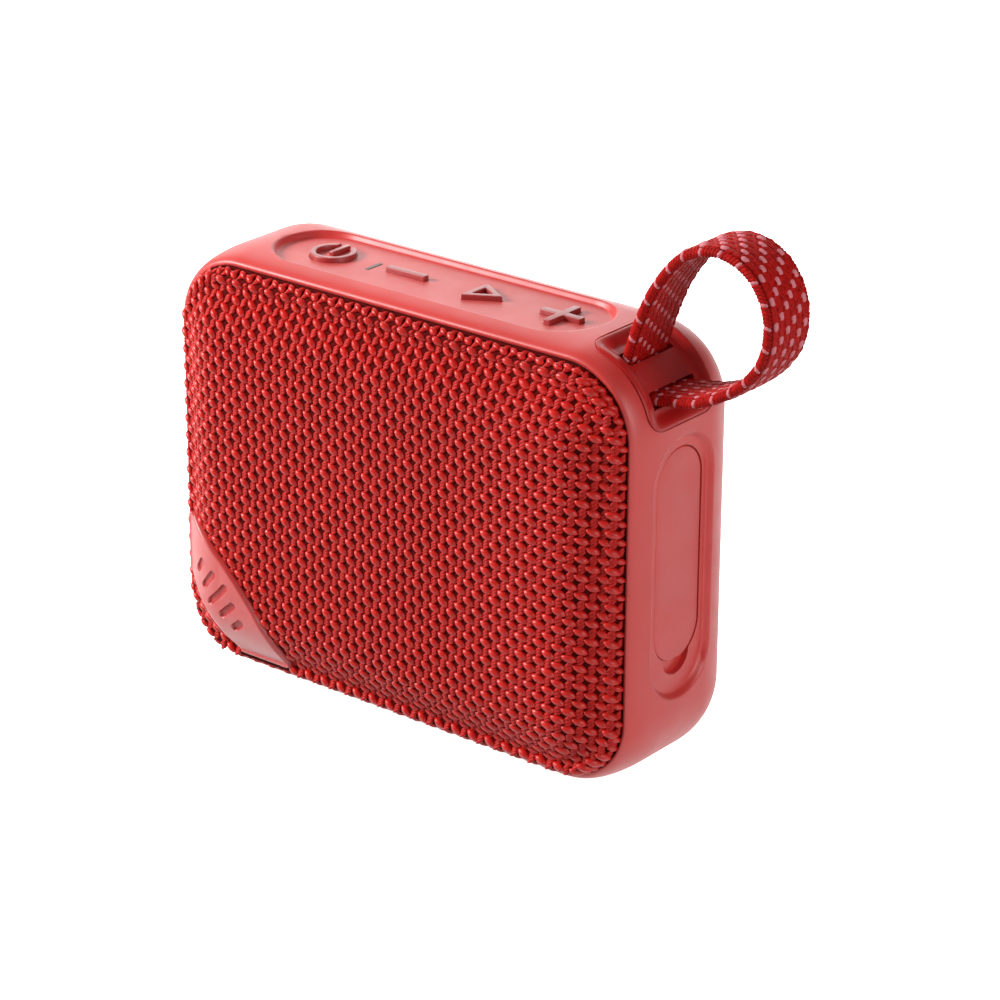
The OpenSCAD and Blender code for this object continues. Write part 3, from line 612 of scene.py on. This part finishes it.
def seat_sector(build, r0, r1):
    """Closed sector with the strap insert's outline, bent round the corner."""
    turn = np.linspace(0, math.pi / 2, 12)
    s = np.concatenate([SEAT_FROM + SEAT_R * (1 - np.cos(turn)),
                        np.linspace(SEAT_FROM + SEAT_R, SEAT_TO - SEAT_R, 24)[1:-1],
                        SEAT_TO - SEAT_R + SEAT_R * np.sin(turn)])
    d = np.clip(np.minimum(s - SEAT_FROM, SEAT_TO - s), 0, SEAT_R)
    pull = SEAT_R - np.sqrt(np.maximum(SEAT_R ** 2 - (SEAT_R - d) ** 2, 0))
    low, high = SEAT_FRONT + pull, SEAT_BACK - pull
    bent_box(build, s, [(low, r0), (high, r0), (high, r1), (low, r1)])


shell = housing()
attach(shell, "housing")
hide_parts("main_shell")


# ---- strap ----
def strap_line(count):
    """Even points (x, z), unit tangents and the length of a closed smooth curve through the route."""
    p = np.array(STRAP_ROUTE, float)
    n = len(p)
    fine = []
    for i in range(n):
        a, b, c, d = p[i - 1], p[i], p[(i + 1) % n], p[(i + 2) % n]
        for k in range(24):
            t = k / 24
            fine.append(0.5 * (2 * b + (c - a) * t + (2 * a - 5 * b + 4 * c - d) * t * t
                               + (3 * b - a - 3 * c + d) * t ** 3))
    fine = np.array(fine)
    loop = np.vstack([fine, fine[:1]])
    s = np.concatenate([[0], np.cumsum(np.linalg.norm(np.diff(loop, axis=0), axis=1))])
    at = np.linspace(0, s[-1], count, endpoint=False)
    q = np.column_stack([np.interp(at, s, loop[:, 0]), np.interp(at, s, loop[:, 1])])
    t = np.roll(q, -1, 0) - np.roll(q, 1, 0)
    return q, t / np.linalg.norm(t, axis=1)[:, None], s[-1]


def strap_solid(build, thick, width, count=140):
    """Plain closed band along the strap's route."""
    q, t, _ = strap_line(count)
    out = np.column_stack([-t[:, 1], t[:, 0]])  # the route runs clockwise, so this points out of the loop
    rings = [(q + out * thick / 2, -width / 2), (q + out * thick / 2, width / 2),
             (q - out * thick / 2, width / 2), (q - out * thick / 2, -width / 2)]
    build.add(np.concatenate([at_y(p, y) for p, y in rings]), grid_faces(4, count, True, True))


def strap():
    """Flat woven band: a dark core, red floats along it and pink flecks in slanting rows."""
    samples = 2400
    q, t, length = strap_line(samples)
    out = np.column_stack([-t[:, 1], t[:, 0]])
    steps = int(round(length / 3.9)) * 3    # the flecks come back every third step
    pitch = length / steps
    cols = 6
    cell = (STRAP_W - 2.2) / cols
    red, core_dark, pink = 0, 1, 2
    ring = np.array([(math.cos(a), math.sin(a)) for a in np.linspace(0, 2 * math.pi, 8, endpoint=False)])
    across_dir = np.array([0, 1.0, 0])
    web = Build()

    def at(s, lift, y):
        """Point, tangent and outward normal of the band at distance s."""
        i = int((s / length * samples) % samples) % samples
        return (np.array([q[i, 0] + out[i, 0] * lift, y, q[i, 1] + out[i, 1] * lift]),
                np.array([t[i, 0], 0, t[i, 1]]), np.array([out[i, 0], 0, out[i, 1]]))

    def core(count=300):
        c, ct, _ = strap_line(count)
        co = np.column_stack([-ct[:, 1], ct[:, 0]])
        half, th = STRAP_W / 2 - 0.35, STRAP_T / 2 - 0.38
        flat = half - th
        rim = [(u * flat, th) for u in np.linspace(-1, 1, 13)]
        rim += [(flat + th * math.cos(a), th * math.sin(a)) for a in np.radians(np.linspace(60, -60, 5))]
        rim += [(u * flat, -th) for u in np.linspace(1, -1, 13)]
        rim += [(-flat + th * math.cos(a), th * math.sin(a)) for a in np.radians(np.linspace(240, 120, 5))]
        rows = [at_y(c + co * w, y) for y, w in rim]
        web.add(np.concatenate(rows), grid_faces(len(rows), count, True, True), core_dark)

    def yarn(points, m):
        """One bit of yarn: a rounded block made of five rings."""
        n = len(ring)
        faces = grid_faces(5, n, wrap_cols=True)
        faces.append(tuple(range(n)))
        faces.append(tuple(4 * n + i for i in range(n))[::-1])
        web.add(points, faces, m)

    def tuft(s, y, side, along, across, high, slant, m):
        """One visible float on a face of the band. side is 1 on the outer face and -1 on the inner."""
        base, tan, nor = at(s, side * (STRAP_T / 2 - 0.42), y)
        d1 = tan * math.cos(slant) + across_dir * math.sin(slant)
        d2 = -tan * math.sin(slant) + across_dir * math.cos(slant)
        jitter = 1 + rng.uniform(-0.07, 0.07)
        v = []
        for u, w in ((-1, 0.55), (-0.72, 0.95), (0, 1.0), (0.72, 0.95), (1, 0.55)):
            for cc, ss in ring:
                v.append(base + d1 * (u * along * jitter / 2) + d2 * (cc * across / 2 * w)
                         + nor * side * (0.02 + max(ss, -0.25) * high * w))
        yarn(v, m)

    def edge_stitch(s, edge, m):
        """One slanting stitch that wraps an edge of the band."""
        base, tan, nor = at(s, 0.0, edge * (STRAP_W / 2 - 0.5))
        d1, d2 = nor * 0.86 + tan * 0.5, tan * 0.86 - nor * 0.5
        long, wide = (0.78, 0.34) if m == pink else (0.92, 0.36)
        v = []
        for u, w in ((-1, 0.3), (-0.75, 0.85), (0, 1.0), (0.75, 0.85), (1, 0.3)):
            for cc, ss in ring:
                v.append(base + d1 * u * long + d2 * cc * pitch * wide * w
                         + across_dir * edge * (max(ss, -0.2) * 0.3 * w - 0.25 * u * u))
        yarn(v, m)

    core()
    for i in range(steps):
        s, between = i * pitch, i * pitch + pitch * 0.5
        for side in (1, -1):
            for j in range(cols):
                y = (j - (cols - 1) / 2) * cell
                if (i + j) % 3 == 0:
                    size = (1.5, cell * 0.74, 0.42) if side > 0 else (1.15, cell * 0.6, 0.34)
                    tuft(s, y, side, *size, 0.0, pink)
                    tuft(between, y + cell / 2, side, pitch * 1.5, cell * 0.42, 0.3, 0.5, red)
                else:
                    tuft(s, y, side, pitch * 1.5, cell * 1.12, 0.24, 0.12, red)
                    tuft(between, y + cell / 2, side, pitch * 1.3, cell * 0.4, 0.3, -0.4, red)
        for edge in (-1, 1):
            edge_stitch(s, edge, pink if (i + (0 if edge < 0 else cols)) % 3 == 0 else red)
            edge_stitch(between, edge, red)
    return flip_to_outside(web.piece("strap_webbing", [STRAP_RED, STRAP_DARK, STRAP_PINK], sharp=0))


band = strap()
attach(band, "housing")
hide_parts("strap")


# ---- strap insert ----
def insert():
    """Plate bent round the corner, hollowed along its middle, with two slots for the strap."""
    gap, nu, nv = 0.07, 70, 64
    a0, a1 = SEAT_FROM + gap, SEAT_TO - gap
    y0, y1 = SEAT_FRONT + gap, SEAT_BACK - gap
    hx, hy = (a1 - a0) / 2, (y1 - y0) / 2
    px, py, m = rounded_grid(nu, nv, hx, hy, SEAT_R)
    front, back, ends = hy + py, hy - py, hx - np.abs(px)
    depth = (1.5 * smooth_step((front - 0.5) / 3.9) * smooth_step((back - 0.35) / 0.9)
             * smooth_step((ends - 0.5) / 2.4))
    rim = 0.16 * (1 - smooth_step((1 - m) * 9.0 / 0.22))
    r = R - 0.02 - (depth + rim)
    s = (a0 + a1) / 2 + px
    y = (y0 + y1) / 2 + py
    top = on_corner(s.ravel(), y.ravel(), r.ravel())
    low = on_corner(s.ravel(), y.ravel(), np.full(s.size, 12.2))
    o = flip_to_outside(piece("strap_anchor", np.concatenate([top, low]), slab_faces(nu, nv), INSERT))
    pocket = Build()
    bent_box(pocket, np.linspace(math.radians(15) * R, math.radians(77) * R, 24),
             [(-7.4, 8.6), (7.4, 8.6), (7.4, 12.6), (-7.4, 12.6)])
    boolean(o, pocket.piece("pocket", INSERT), "UNION")
    slot = Build()
    strap_solid(slot, STRAP_T + 0.7, STRAP_W + 0.7)
    boolean(o, slot.piece("slots", INSERT), sharp=40)
    return o


anchor = insert()
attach(anchor, "housing")
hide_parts("strap_insert")


# ---- fabric front ----
def edge_distance(x, z):
    """Distance inwards from the fabric's outline."""
    r = R - FACE_INSET
    qx, qz = np.abs(x) - HX, np.abs(z - MID_Z) - HZ
    out = np.hypot(np.maximum(qx, 0), np.maximum(qz, 0)) + np.minimum(np.maximum(qx, qz), 0)
    return r - out


def crown_y(x, z):
    """Y of the crowned front with its rolled border, without the tuck behind the lip."""
    e = edge_distance(x, z)
    t = 1 - np.clip(e, 0, CROWN_W) / CROWN_W
    a, b = np.maximum(np.abs(x) - HX, 0), np.maximum(np.abs(z - MID_Z) - HZ, 0)
    roll = (1.1 + 0.9 * b * b / (a * a + b * b + 1e-6)) * np.exp(-((e - 1.1) / 1.3) ** 2)
    panel = CROWN * (1 - np.clip(e, 0, PANEL_CROWN_W) / PANEL_CROWN_W) ** PANEL_POWER + 0.2
    return FACE_Y + np.minimum(CROWN * t ** CROWN_POWER, panel) - roll


def face_y(x, z):
    """Y of the cloth's face, with its edge tucked in behind the lip."""
    e = edge_distance(x, z)
    return crown_y(x, z) + 0.9 * np.exp(-np.maximum(e, 0) / 0.35) + 1.6 * np.maximum(-e, 0)


def face_normal(x, z):
    """Outward unit normal of the crowned front."""
    h = 0.25
    gx = (crown_y(x + h, z) - crown_y(x - h, z)) / (2 * h)
    gz = (crown_y(x, z + h) - crown_y(x, z - h)) / (2 * h)
    n = np.stack([gx, -np.ones_like(gx), gz], -1)
    return n / np.linalg.norm(n, axis=-1, keepdims=True)


def arc_map(half):
    """Distances over the crown from the middle, and the flat coordinates that they belong to."""
    x = np.linspace(0, half, 600)
    e = half - x
    t = 1 - np.clip(e, 0, CROWN_W) / CROWN_W
    y = CROWN * t ** CROWN_POWER
    s = np.concatenate([[0], np.cumsum(np.hypot(np.diff(x), np.diff(y)))])
    return s, x


def cloth():
    """The ground of the cloth, stretched over the panel and tucked in behind the lip; its near-black red is
    painted shade between the floats.
    """
    nu, nv, behind = 81, 65, 0.45
    x, z, _ = rounded_grid(nu, nv, W / 2 - FACE_INSET, H / 2 - FACE_INSET, R - FACE_INSET)
    z = z + MID_Z
    y = face_y(x, z) + behind
    verts = np.column_stack([x.ravel(), y.ravel(), z.ravel()])
    return piece("grille_cloth", verts, grid_faces(nu, nv), SHADED_GROUND, sharp=0)


def bead_shape(ring=14):
    """Points and faces of one almond float of yarn, lying along the first axis."""
    ang = np.linspace(0, 2 * math.pi, ring, endpoint=False)
    shape = []
    for rr, high in ((1.0, -0.35), (0.93, 0.1), (0.74, 0.36), (0.5, 0.52), (0.24, 0.6)):
        for a in ang:
            u, v = math.cos(a) * rr, math.sin(a) * abs(math.sin(a)) ** 0.35 * rr
            shape.append((u * 1.38, v * 0.72, high - 0.1 * u))
    shape.append((0, 0, 0.62))
    faces = grid_faces(5, ring, wrap_cols=True)
    faces += [(4 * ring + i, 4 * ring + (i + 1) % ring, 5 * ring) for i in range(ring)]
    faces.append(tuple(range(ring))[::-1])
    return np.array(shape), faces


def twist_shape(ring=7):
    """Points and faces of a short upright bit of three slanting strands, one above the other."""
    points, faces = [], []
    lean = math.radians(38)
    for k in range(3):
        start = len(points)
        for t, w in ((-1, 0.45), (-0.45, 1), (0.35, 1), (1, 0.5)):
            for a in np.linspace(0, 2 * math.pi, ring, endpoint=False):
                u, v = t * 0.78, math.cos(a) * 0.34 * w
                points.append((u * math.cos(lean) - v * math.sin(lean),
                               u * math.sin(lean) + v * math.cos(lean) + (k - 1) * 0.52,
                               math.sin(a) * 0.32 * w))
        faces += grid_faces(4, ring, wrap_cols=True, start=start)
        faces += [tuple(start + i for i in f) for f in end_caps(4, ring)]
    return np.array(points), faces


def weave():
    """Columns of almond floats with twisted bits between them, over the front but not under the badge."""
    col, row = 1.905, 3.33
    sx, ax = arc_map(W / 2 - FACE_INSET)
    sz, az = arc_map(H / 2 - FACE_INSET)
    bead, bead_faces = bead_shape()
    twist, twist_faces = twist_shape()
    beads, twists = Build(), Build()
    n_col, n_row, past_edge = 29, 14, 1.2

    def place(u, v):
        """The flat coordinates of a point of the weave, or None past the edge."""
        if abs(u) > sx[-1] + past_edge or abs(v) > sz[-1] + past_edge:
            return None
        x = math.copysign(np.interp(abs(u), sx, ax) + max(abs(u) - sx[-1], 0), u)
        z = MID_Z + math.copysign(np.interp(abs(v), sz, az) + max(abs(v) - sz[-1], 0), v)
        return x, z

    def move_in(x, z, by):
        """Moves a point in the border inwards from the outline."""
        a, b = max(abs(x) - HX, 0), max(abs(z - MID_Z) - HZ, 0)
        k = by / max(math.hypot(a, b), 1e-6)
        return x - math.copysign(a * k, x), z - math.copysign(b * k, z - MID_Z)

    def axes(x, z, turn):
        """Turned directions along and across the cloth, and its normal."""
        n = face_normal(np.array(x), np.array(z))
        tx = np.array([-n[1], n[0], 0])
        tx /= np.linalg.norm(tx)
        tz = np.cross(n, tx)
        tz = tz if tz[2] > 0 else -tz
        ct, st = math.cos(turn), math.sin(turn)
        return np.array([tx * ct + tz * st, tz * ct - tx * st, n])

    def yarn(x, z, is_bead):
        e = float(edge_distance(np.array(x), np.array(z)))
        under = in_badge(x, z)
        if e < -1.3 or (under and e > 2.6):
            return
        firm = x > 0 or z > MID_Z + 20
        nearest = 1.15 if under else 0.4 if firm else 0.15
        if e < nearest or under:
            x, z = move_in(x, z, nearest - e)
            e = nearest
        to_right = float(smooth_step((x - 8) / 34))
        if e > 1.2 or (firm and e > 0.6):
            size = 1 + 0.12 * to_right
        else:
            size = 0.86 if firm or e > 0.6 else 0.74
        size *= 1 + rng.uniform(-0.05, 0.05)
        turn = rng.uniform(-0.07, 0.07)
        if is_bead:
            turn -= math.radians(36 - 16 * to_right)
        base = np.array([x, float(face_y(np.array(x), np.array(z))) + 0.4, z])
        build, shape, faces = (beads, bead, bead_faces) if is_bead else (twists, twist, twist_faces)
        build.add(base + (shape * size) @ axes(x, z, turn), faces)

    for i in range(-n_col, n_col + 1):
        for j in range(-n_row, n_row + 1):
            v = (j + (0.5 if i % 2 else 0)) * row
            for is_bead, at in ((True, place(i * col, v)), (False, place(i * col, v + row / 2))):
                if at:
                    yarn(*at, is_bead)
    return beads.piece("grille_floats", BEAD, sharp=0), twists.piece("grille_twists", TWIST, sharp=0)


BADGE_MID, BADGE_R = (-65.5, -10.9), (34.5, 45.8)  # the badge is a piece of this ring
BADGE_TOP, BADGE_RIGHT = 30.1, -23.0


def in_badge(x, z):
    """Whether a yarn at this place would lie under the badge."""
    margin = 0.25
    rho = math.hypot(x - BADGE_MID[0], z - BADGE_MID[1])
    return (BADGE_R[0] + margin < rho < BADGE_R[1] - margin and z < BADGE_TOP - 0.3 and x < BADGE_RIGHT - 0.4
            and edge_distance(x, z) > 1.7)


def badge():
    """Raised corner badge that follows the crown, with five level bars sunk in it; the bars' floors take a
    darker red as painted shade.
    """
    nu, nv = 330, 60
    mid = (BADGE_R[0] + BADGE_R[1]) / 2
    high, round_r, deep, soft = 0.85, 0.55, 0.42, 0.16
    bar_r, bar_long, shorter, bar_step = 0.7, 6.4, 1.5, 4.6
    top, low, sunk = [], [], []
    for p in np.radians(np.linspace(21.4, 65.8, nu)):
        rho = np.linspace(BADGE_R[0], BADGE_R[1], 400)
        e = edge_distance(BADGE_MID[0] + rho * math.cos(p), BADGE_MID[1] + rho * math.sin(p))
        near, far = rho[e > 1.9].min(), BADGE_R[1]
        rho = np.linspace(near, far, nv)
        x, z = BADGE_MID[0] + rho * math.cos(p), BADGE_MID[1] + rho * math.sin(p)
        d = np.minimum(np.minimum(rho - near, far - rho), np.minimum(BADGE_TOP - z, BADGE_RIGHT - x))
        lift = np.where(d < 0, -0.6, high * np.sqrt(np.clip(1 - (1 - np.clip(d / round_r, 0, 1)) ** 2, 0, 1)))
        inside = np.zeros(nv, bool)
        for k in range(-2, 3):
            across = abs(math.degrees(p) - 45 - bar_step * k) * math.pi / 180 * mid
            along = np.abs(rho - mid) - (bar_long - shorter * abs(k)) / 2 + bar_r
            away = np.hypot(across, np.maximum(along, 0)) - bar_r
            lift = lift - deep * smooth_step(0.5 - away / soft)
            inside |= away < 0.03
        n = face_normal(x, z)
        at = np.column_stack([x, crown_y(x, z) + 0.1, z])
        top.append(at + n * lift[:, None])
        low.append(at + n * -0.7)
        sunk.append(inside)
    faces = slab_faces(nu, nv)
    # faces on the bars' floors take the darker insert red, painted shade in the sunk bars
    dark = np.concatenate(sunk + [np.zeros(nu * nv, bool)])
    index = [int(all(dark[i] for i in f)) for f in faces]
    verts = np.concatenate(top + low)
    return flip_to_outside(piece("corner_badge", verts, faces, [BADGE, INSERT], index=index))


ground = cloth()
floats, twists = weave()
for o in (ground, floats, twists):
    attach(o, "housing")
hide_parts("grille_fabric")
mark = badge()
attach(mark, "housing")
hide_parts("badge")


# ---- keys ----
def power_symbol(build, at, top):
    """Open ring and a stroke on a low disc in the housing's colour."""
    prism(build, key_outline(0), KEY_LOW, DISH_Z + 0.02, at, 0.06, 2, m=1)
    gap = math.degrees(math.asin(1.5 / 3.65))
    outer = circle(4.2, 70, (0, 0), 90 + gap * 0.86, 450 - gap * 0.86, False)
    inner = circle(3.1, 60, (0, 0), 450 - gap * 1.16, 90 + gap * 1.16, False)
    prism(build, np.concatenate([outer, inner]), 78.5, top, at, 0.2)
    stroke = [(-0.55, -0.6), (0.55, -0.6), (0.55, 4.15), (-0.55, 4.15)]
    prism(build, round_poly(stroke, 0.25), 78.5, top, at, 0.2)


def play_symbol(build, at, top):
    """Triangle with a triangular hollow down to the dish."""
    outer, inner = key_outline(2), triangle(2.1, 0.2)
    rings = [(outer, KEY_LOW)] + rounded_edge(outer, top, 0.2, 3)
    for k in range(4):
        a = math.pi / 2 * (1 - k / 3)
        rings.append((inward(inner, -0.15 * (1 - math.cos(a))), top - 0.15 + 0.15 * math.sin(a)))
    rings.append((inner, DISH_Z))
    n = len(outer)
    build.add(at(stacked(rings)), grid_faces(len(rings), n, wrap_cols=True) + end_caps(len(rings), n))


def key(kind, x):
    """Raised symbol on its stem, with the flange and the peg below the housing."""
    b = Build()
    at, top = on_top(x), DISH_Z + KEY_RISE
    if kind == 0:
        power_symbol(b, at, top)
    elif kind == 2:
        play_symbol(b, at, top)
    else:
        prism(b, key_outline(kind), KEY_LOW, top, at, 0.15)
    prism(b, circle(4.9, 64), KEY_LOW, 78.2, at, 0.1, 2, bottom_bevel=0.1)
    prism(b, circle(1.5, 32), 75.4, KEY_LOW + 0.2, at, 0.1, 2, bottom_bevel=0.1)
    return b


for kind, (name, x) in enumerate(zip(("power", "volume_down", "play", "volume_up"), KEY_X)):
    o = flip_to_outside(key(kind, x).piece(name + "_button", [KEY_RED, CORAL]))
    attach(o, name + "_key")
    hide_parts(name + "_key")


# ---- side cover, its block and its neck ----
def cover_outline():
    """Stadium with a bite for the fingernail at its lower end."""
    p = stadium(COVER_W, COVER_H, 60)
    c = np.array([0, 20.1 - COVER_MID])
    d = p - c
    dist = np.linalg.norm(d, axis=1)
    hit = dist < NOTCH_R
    p[hit] = c + d[hit] / dist[hit][:, None] * NOTCH_R
    return p


def cover():
    """Rubber flap with a rounded outer edge and a sealing lip on its inner face."""
    b = Build()
    edge, rise = 0.35, 0.05
    poly = cover_outline()
    n = len(poly)
    rings = [(poly, DISH_X - 1.6)] + rounded_edge(poly, DISH_X - rise, edge, 4)
    for k in (0.75, 0.5, 0.25, 0.1):
        rings.append((inward(poly, edge) * k, DISH_X - rise + rise * (1 - k)))
    faces = grid_faces(len(rings), n, wrap_cols=True) + end_caps(len(rings), n)
    b.add(on_side(COVER_MID)(stacked(rings)), faces)
    out, inn = stadium(10.1, 33, 32), stadium(8.1, 31, 32)
    lip = [(out, DISH_X - 1.55), (out, DISH_X - 1.95), (inward(out, 0.15), DISH_X - 2.1),
           (inward(inn, -0.15), DISH_X - 2.1), (inn, DISH_X - 1.95), (inn, DISH_X - 1.55)]
    b.add(on_side(COVER_MID + 1.5)(stacked(lip)), grid_faces(len(lip), len(out), True, True))
    return flip_to_outside(b.piece("side_flap", CORAL))


flap = cover()
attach(flap, "side_cover")
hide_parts("port_cover")


def port_block():
    """Block behind the cover, with the cover's pocket and holes for the sockets and the plug."""
    b = Build()
    prism(b, rectangle(17, 46, 1.5), 46.8, 49.7, on_side(40.9), 0.1, 2)
    o = flip_to_outside(b.piece("port_block", CORAL))
    cut = Build()
    cut_cover(cut)
    boolean(o, cut.piece("cut_c", CORAL))
    cut = Build()
    card_slot = np.array([(-0.3, -6.1), (1.5, -6.1), (1.5, 6.1), (-0.3, 6.1)])
    for poly, z in ((stadium(3.6, 9.3, 20), 42.8), (circle(2.9, 48), 51.8), (card_slot, 31.2),
                    (circle(1.22, 32), 58.4)):
        cutter(cut, poly, 45, 50.5, on_side(z))
    return boolean(o, cut.piece("cut_d", CORAL))


block = port_block()
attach(block, "housing")


def neck():
    """Thin rubber strip that joins the cover to its fixed plug."""
    n, half, t, x = 24, 2.1, 0.18, 48.92
    z = np.linspace(57.2, 61.8, n)
    rows = [np.column_stack([np.full(n, x + w), np.full(n, y), z])
            for w, y in ((-t, -half), (-t, half), (t, half), (t, -half))]
    faces = grid_faces(4, n, wrap_rows=True)
    faces += [(0, n, 2 * n, 3 * n), (n - 1, 4 * n - 1, 3 * n - 1, 2 * n - 1)]
    return flip_to_outside(piece("cover_neck", np.concatenate(rows), faces, RUBBER))


strip = neck()
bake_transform(strip)


# ---- passive radiator and foot pad ----
def oval_piece(name, rows, long_w, short_h, mat, closed=True):
    """Mesh of lying stadium outlines. rows are (growth from long_w by short_h, y).

    A closed one joins its last row to its first, and an open one has two end faces.
    """
    pts = []
    for grow, y in rows:
        pts.append(at_y(stadium(short_h + 2 * grow, long_w + 2 * grow, 48)[:, ::-1] + [0, MID_Z], y))
    n = len(pts[0])
    faces = grid_faces(len(pts), n, closed, True)
    if not closed:
        faces += [f[::-1] for f in end_caps(len(pts), n)]
    return flip_to_outside(piece(name, np.concatenate(pts), faces, mat))


def roll_rows():
    """Section of the half-round roll: its outer face, and its inner face 0.45 mm behind."""
    mid, r, deep, y = -3.15, 1.6, 1.35, 16.95
    rows = []
    for angles, shift in ((np.linspace(0, 180, 17), 0.35), (np.linspace(180, 0, 17), -0.1)):
        rows += [(mid + r * math.cos(q), y - deep * math.sin(q) + shift) for q in np.radians(angles)]
    return rows


RIM_ROWS = [(1.35, 17.85), (1.35, 15.95), (-1.5, 15.95), (-1.5, 17.5), (-1.15, 17.85)]
DISC_ROWS = [(0, 16.5), (0, 17.45), (-0.12, 17.75), (-0.4, 17.9), (-3.1, 17.9), (-3.4, 18.0), (-3.9, 18.55),
             (-4.3, 18.7), (-6.5, 18.74), (-9, 18.76), (-11.5, 18.76)]
rim = oval_piece("radiator_rim", RIM_ROWS, RADIATOR_W, RADIATOR_H, RUBBER)
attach(rim, "housing")
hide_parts("radiator_frame")
roll = oval_piece("radiator_roll", roll_rows(), RADIATOR_W, RADIATOR_H, ROLL)
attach(roll, "housing")
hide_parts("radiator_surround")
disc = oval_piece("radiator_disc", DISC_ROWS, 48.4, 24.4, PLATE, closed=False)
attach(disc, "radiator")
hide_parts("radiator_plate")


def foot():
    """Oval pad with five ribs."""
    b = Build()
    prism(b, lying_stadium(FOOT_W, FOOT_D, 32), 0.0, FOOT_TALL, on_top(), 0.05, 1, bottom_bevel=0.25)
    for k in range(-2, 3):
        prism(b, lying_stadium(58 - 5 * abs(k), 1.1, 12), 0.0, 0.2, on_top(0, 2.6 * k), 0.05, 1)
    return flip_to_outside(b.piece("foot_pad", RUBBER))


pad = foot()
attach(pad, "housing")
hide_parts("base_pad")


# ---- finishes, each with the CAD nodes that it stays on ----
FINISHES = [
    (material("black_plastic", (28, 28, 30), 0.5, grain=0.3), "baffle key_retainer aux_socket"),
    (material("circuit_board", (16, 84, 42), 0.4, var=0.12, var_scale=500, coat=0.4, grain_scale=2500),
     "key_board main_board"),
    (material("steel", (178, 178, 182), 0.3, 1.0, bands=(2500, "Z", 0.5), grain_mm=0.004),
     "baffle_screws key_screws board_screws usb_c_socket card_socket driver_screws driver_top_plate "
     "driver_back_plate"),
    (material("dark_steel", (70, 70, 74), 0.4, 1.0, grain_mm=0.006), "driver_frame"),
    (material("chips", (34, 34, 36), 0.55, var=0.2, var_scale=250, grain=0.4),
     "key_switches board_components"),
    (material("foam", (24, 24, 24), 0.95, var=0.3, var_scale=1500, grain=1.0, grain_scale=3000, grain_mm=0.2),
     "baffle_seal battery_foam driver_gasket"),
    (material("cell_wrap", (52, 74, 132), 0.3, var=0.06, coat=0.5, grain_scale=1500), "battery_cell"),
    (material("copper", (184, 104, 58), 0.3, 1.0, bands=(6000, "Y", 0.7), grain_mm=0.03), "voice_coil"),
    (material("cone_paper", (26, 26, 28), 0.75, var=0.2, var_scale=900, grain=0.8, grain_scale=2500,
              grain_mm=0.06),
     "driver_cone dust_cap"),
    (material("spider_cloth", (176, 142, 78), 0.85, bands=(2800, "X", 0.6), grain=0.9, grain_mm=0.1),
     "driver_spider"),
    (material("ferrite", (38, 38, 42), 0.6, var=0.15, grain=0.5, grain_mm=0.03), "driver_magnet"),
    (material("wire_black", (20, 20, 20), 0.45, grain=0.3), "driver_wires driver_surround"),
    (material("wire_red", (170, 24, 22), 0.4, grain=0.3), "battery_wires"),
    (material("polyimide", (190, 112, 30), 0.3, coat=0.5, bands=(2200, "X", 0.5)), "key_cable"),
    (material("white_nylon", (226, 224, 214), 0.5, grain=0.3),
     "power_plunger volume_down_plunger play_plunger volume_up_plunger"),
    (material("grey_lens", (128, 122, 116), 0.6, var=0.05, grain=0.2, spec=0.2), "light_pipe"),
    (material("led", (232, 224, 176), 0.3, coat=0.5), "status_led"),
    (material("grille_panel", (40, 8, 8), 0.55, var=0.1, grain=0.4), "grille_panel"),
    (material("tether_rubber", (176, 60, 58), 0.6, var=0.08, grain=0.4), "cover_tether"),
]
for finish, nodes in FINISHES:
    for node in nodes.split():
        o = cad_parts[node]
        o.data.materials.clear()
        o.data.materials.append(finish)

# ---- floor ----
FAR, FLOOR_Z = 8000, -0.05
corners = [(-FAR, -FAR, FLOOR_Z), (FAR, -FAR, FLOOR_Z), (FAR, FAR, FLOOR_Z), (-FAR, FAR, FLOOR_Z)]
white = material("floor_white", (252, 252, 252), 0.9, var=0.005, var_scale=4, grain=0.02)
floor = piece("floor", corners, [(0, 1, 2, 3)], white, sharp=0)
shader = white.node_tree.nodes["Principled BSDF"]
shader.inputs["Emission Color"].default_value = (1, 1, 1, 1)
shader.inputs["Emission Strength"].default_value = 1.0
floor.visible_diffuse = False
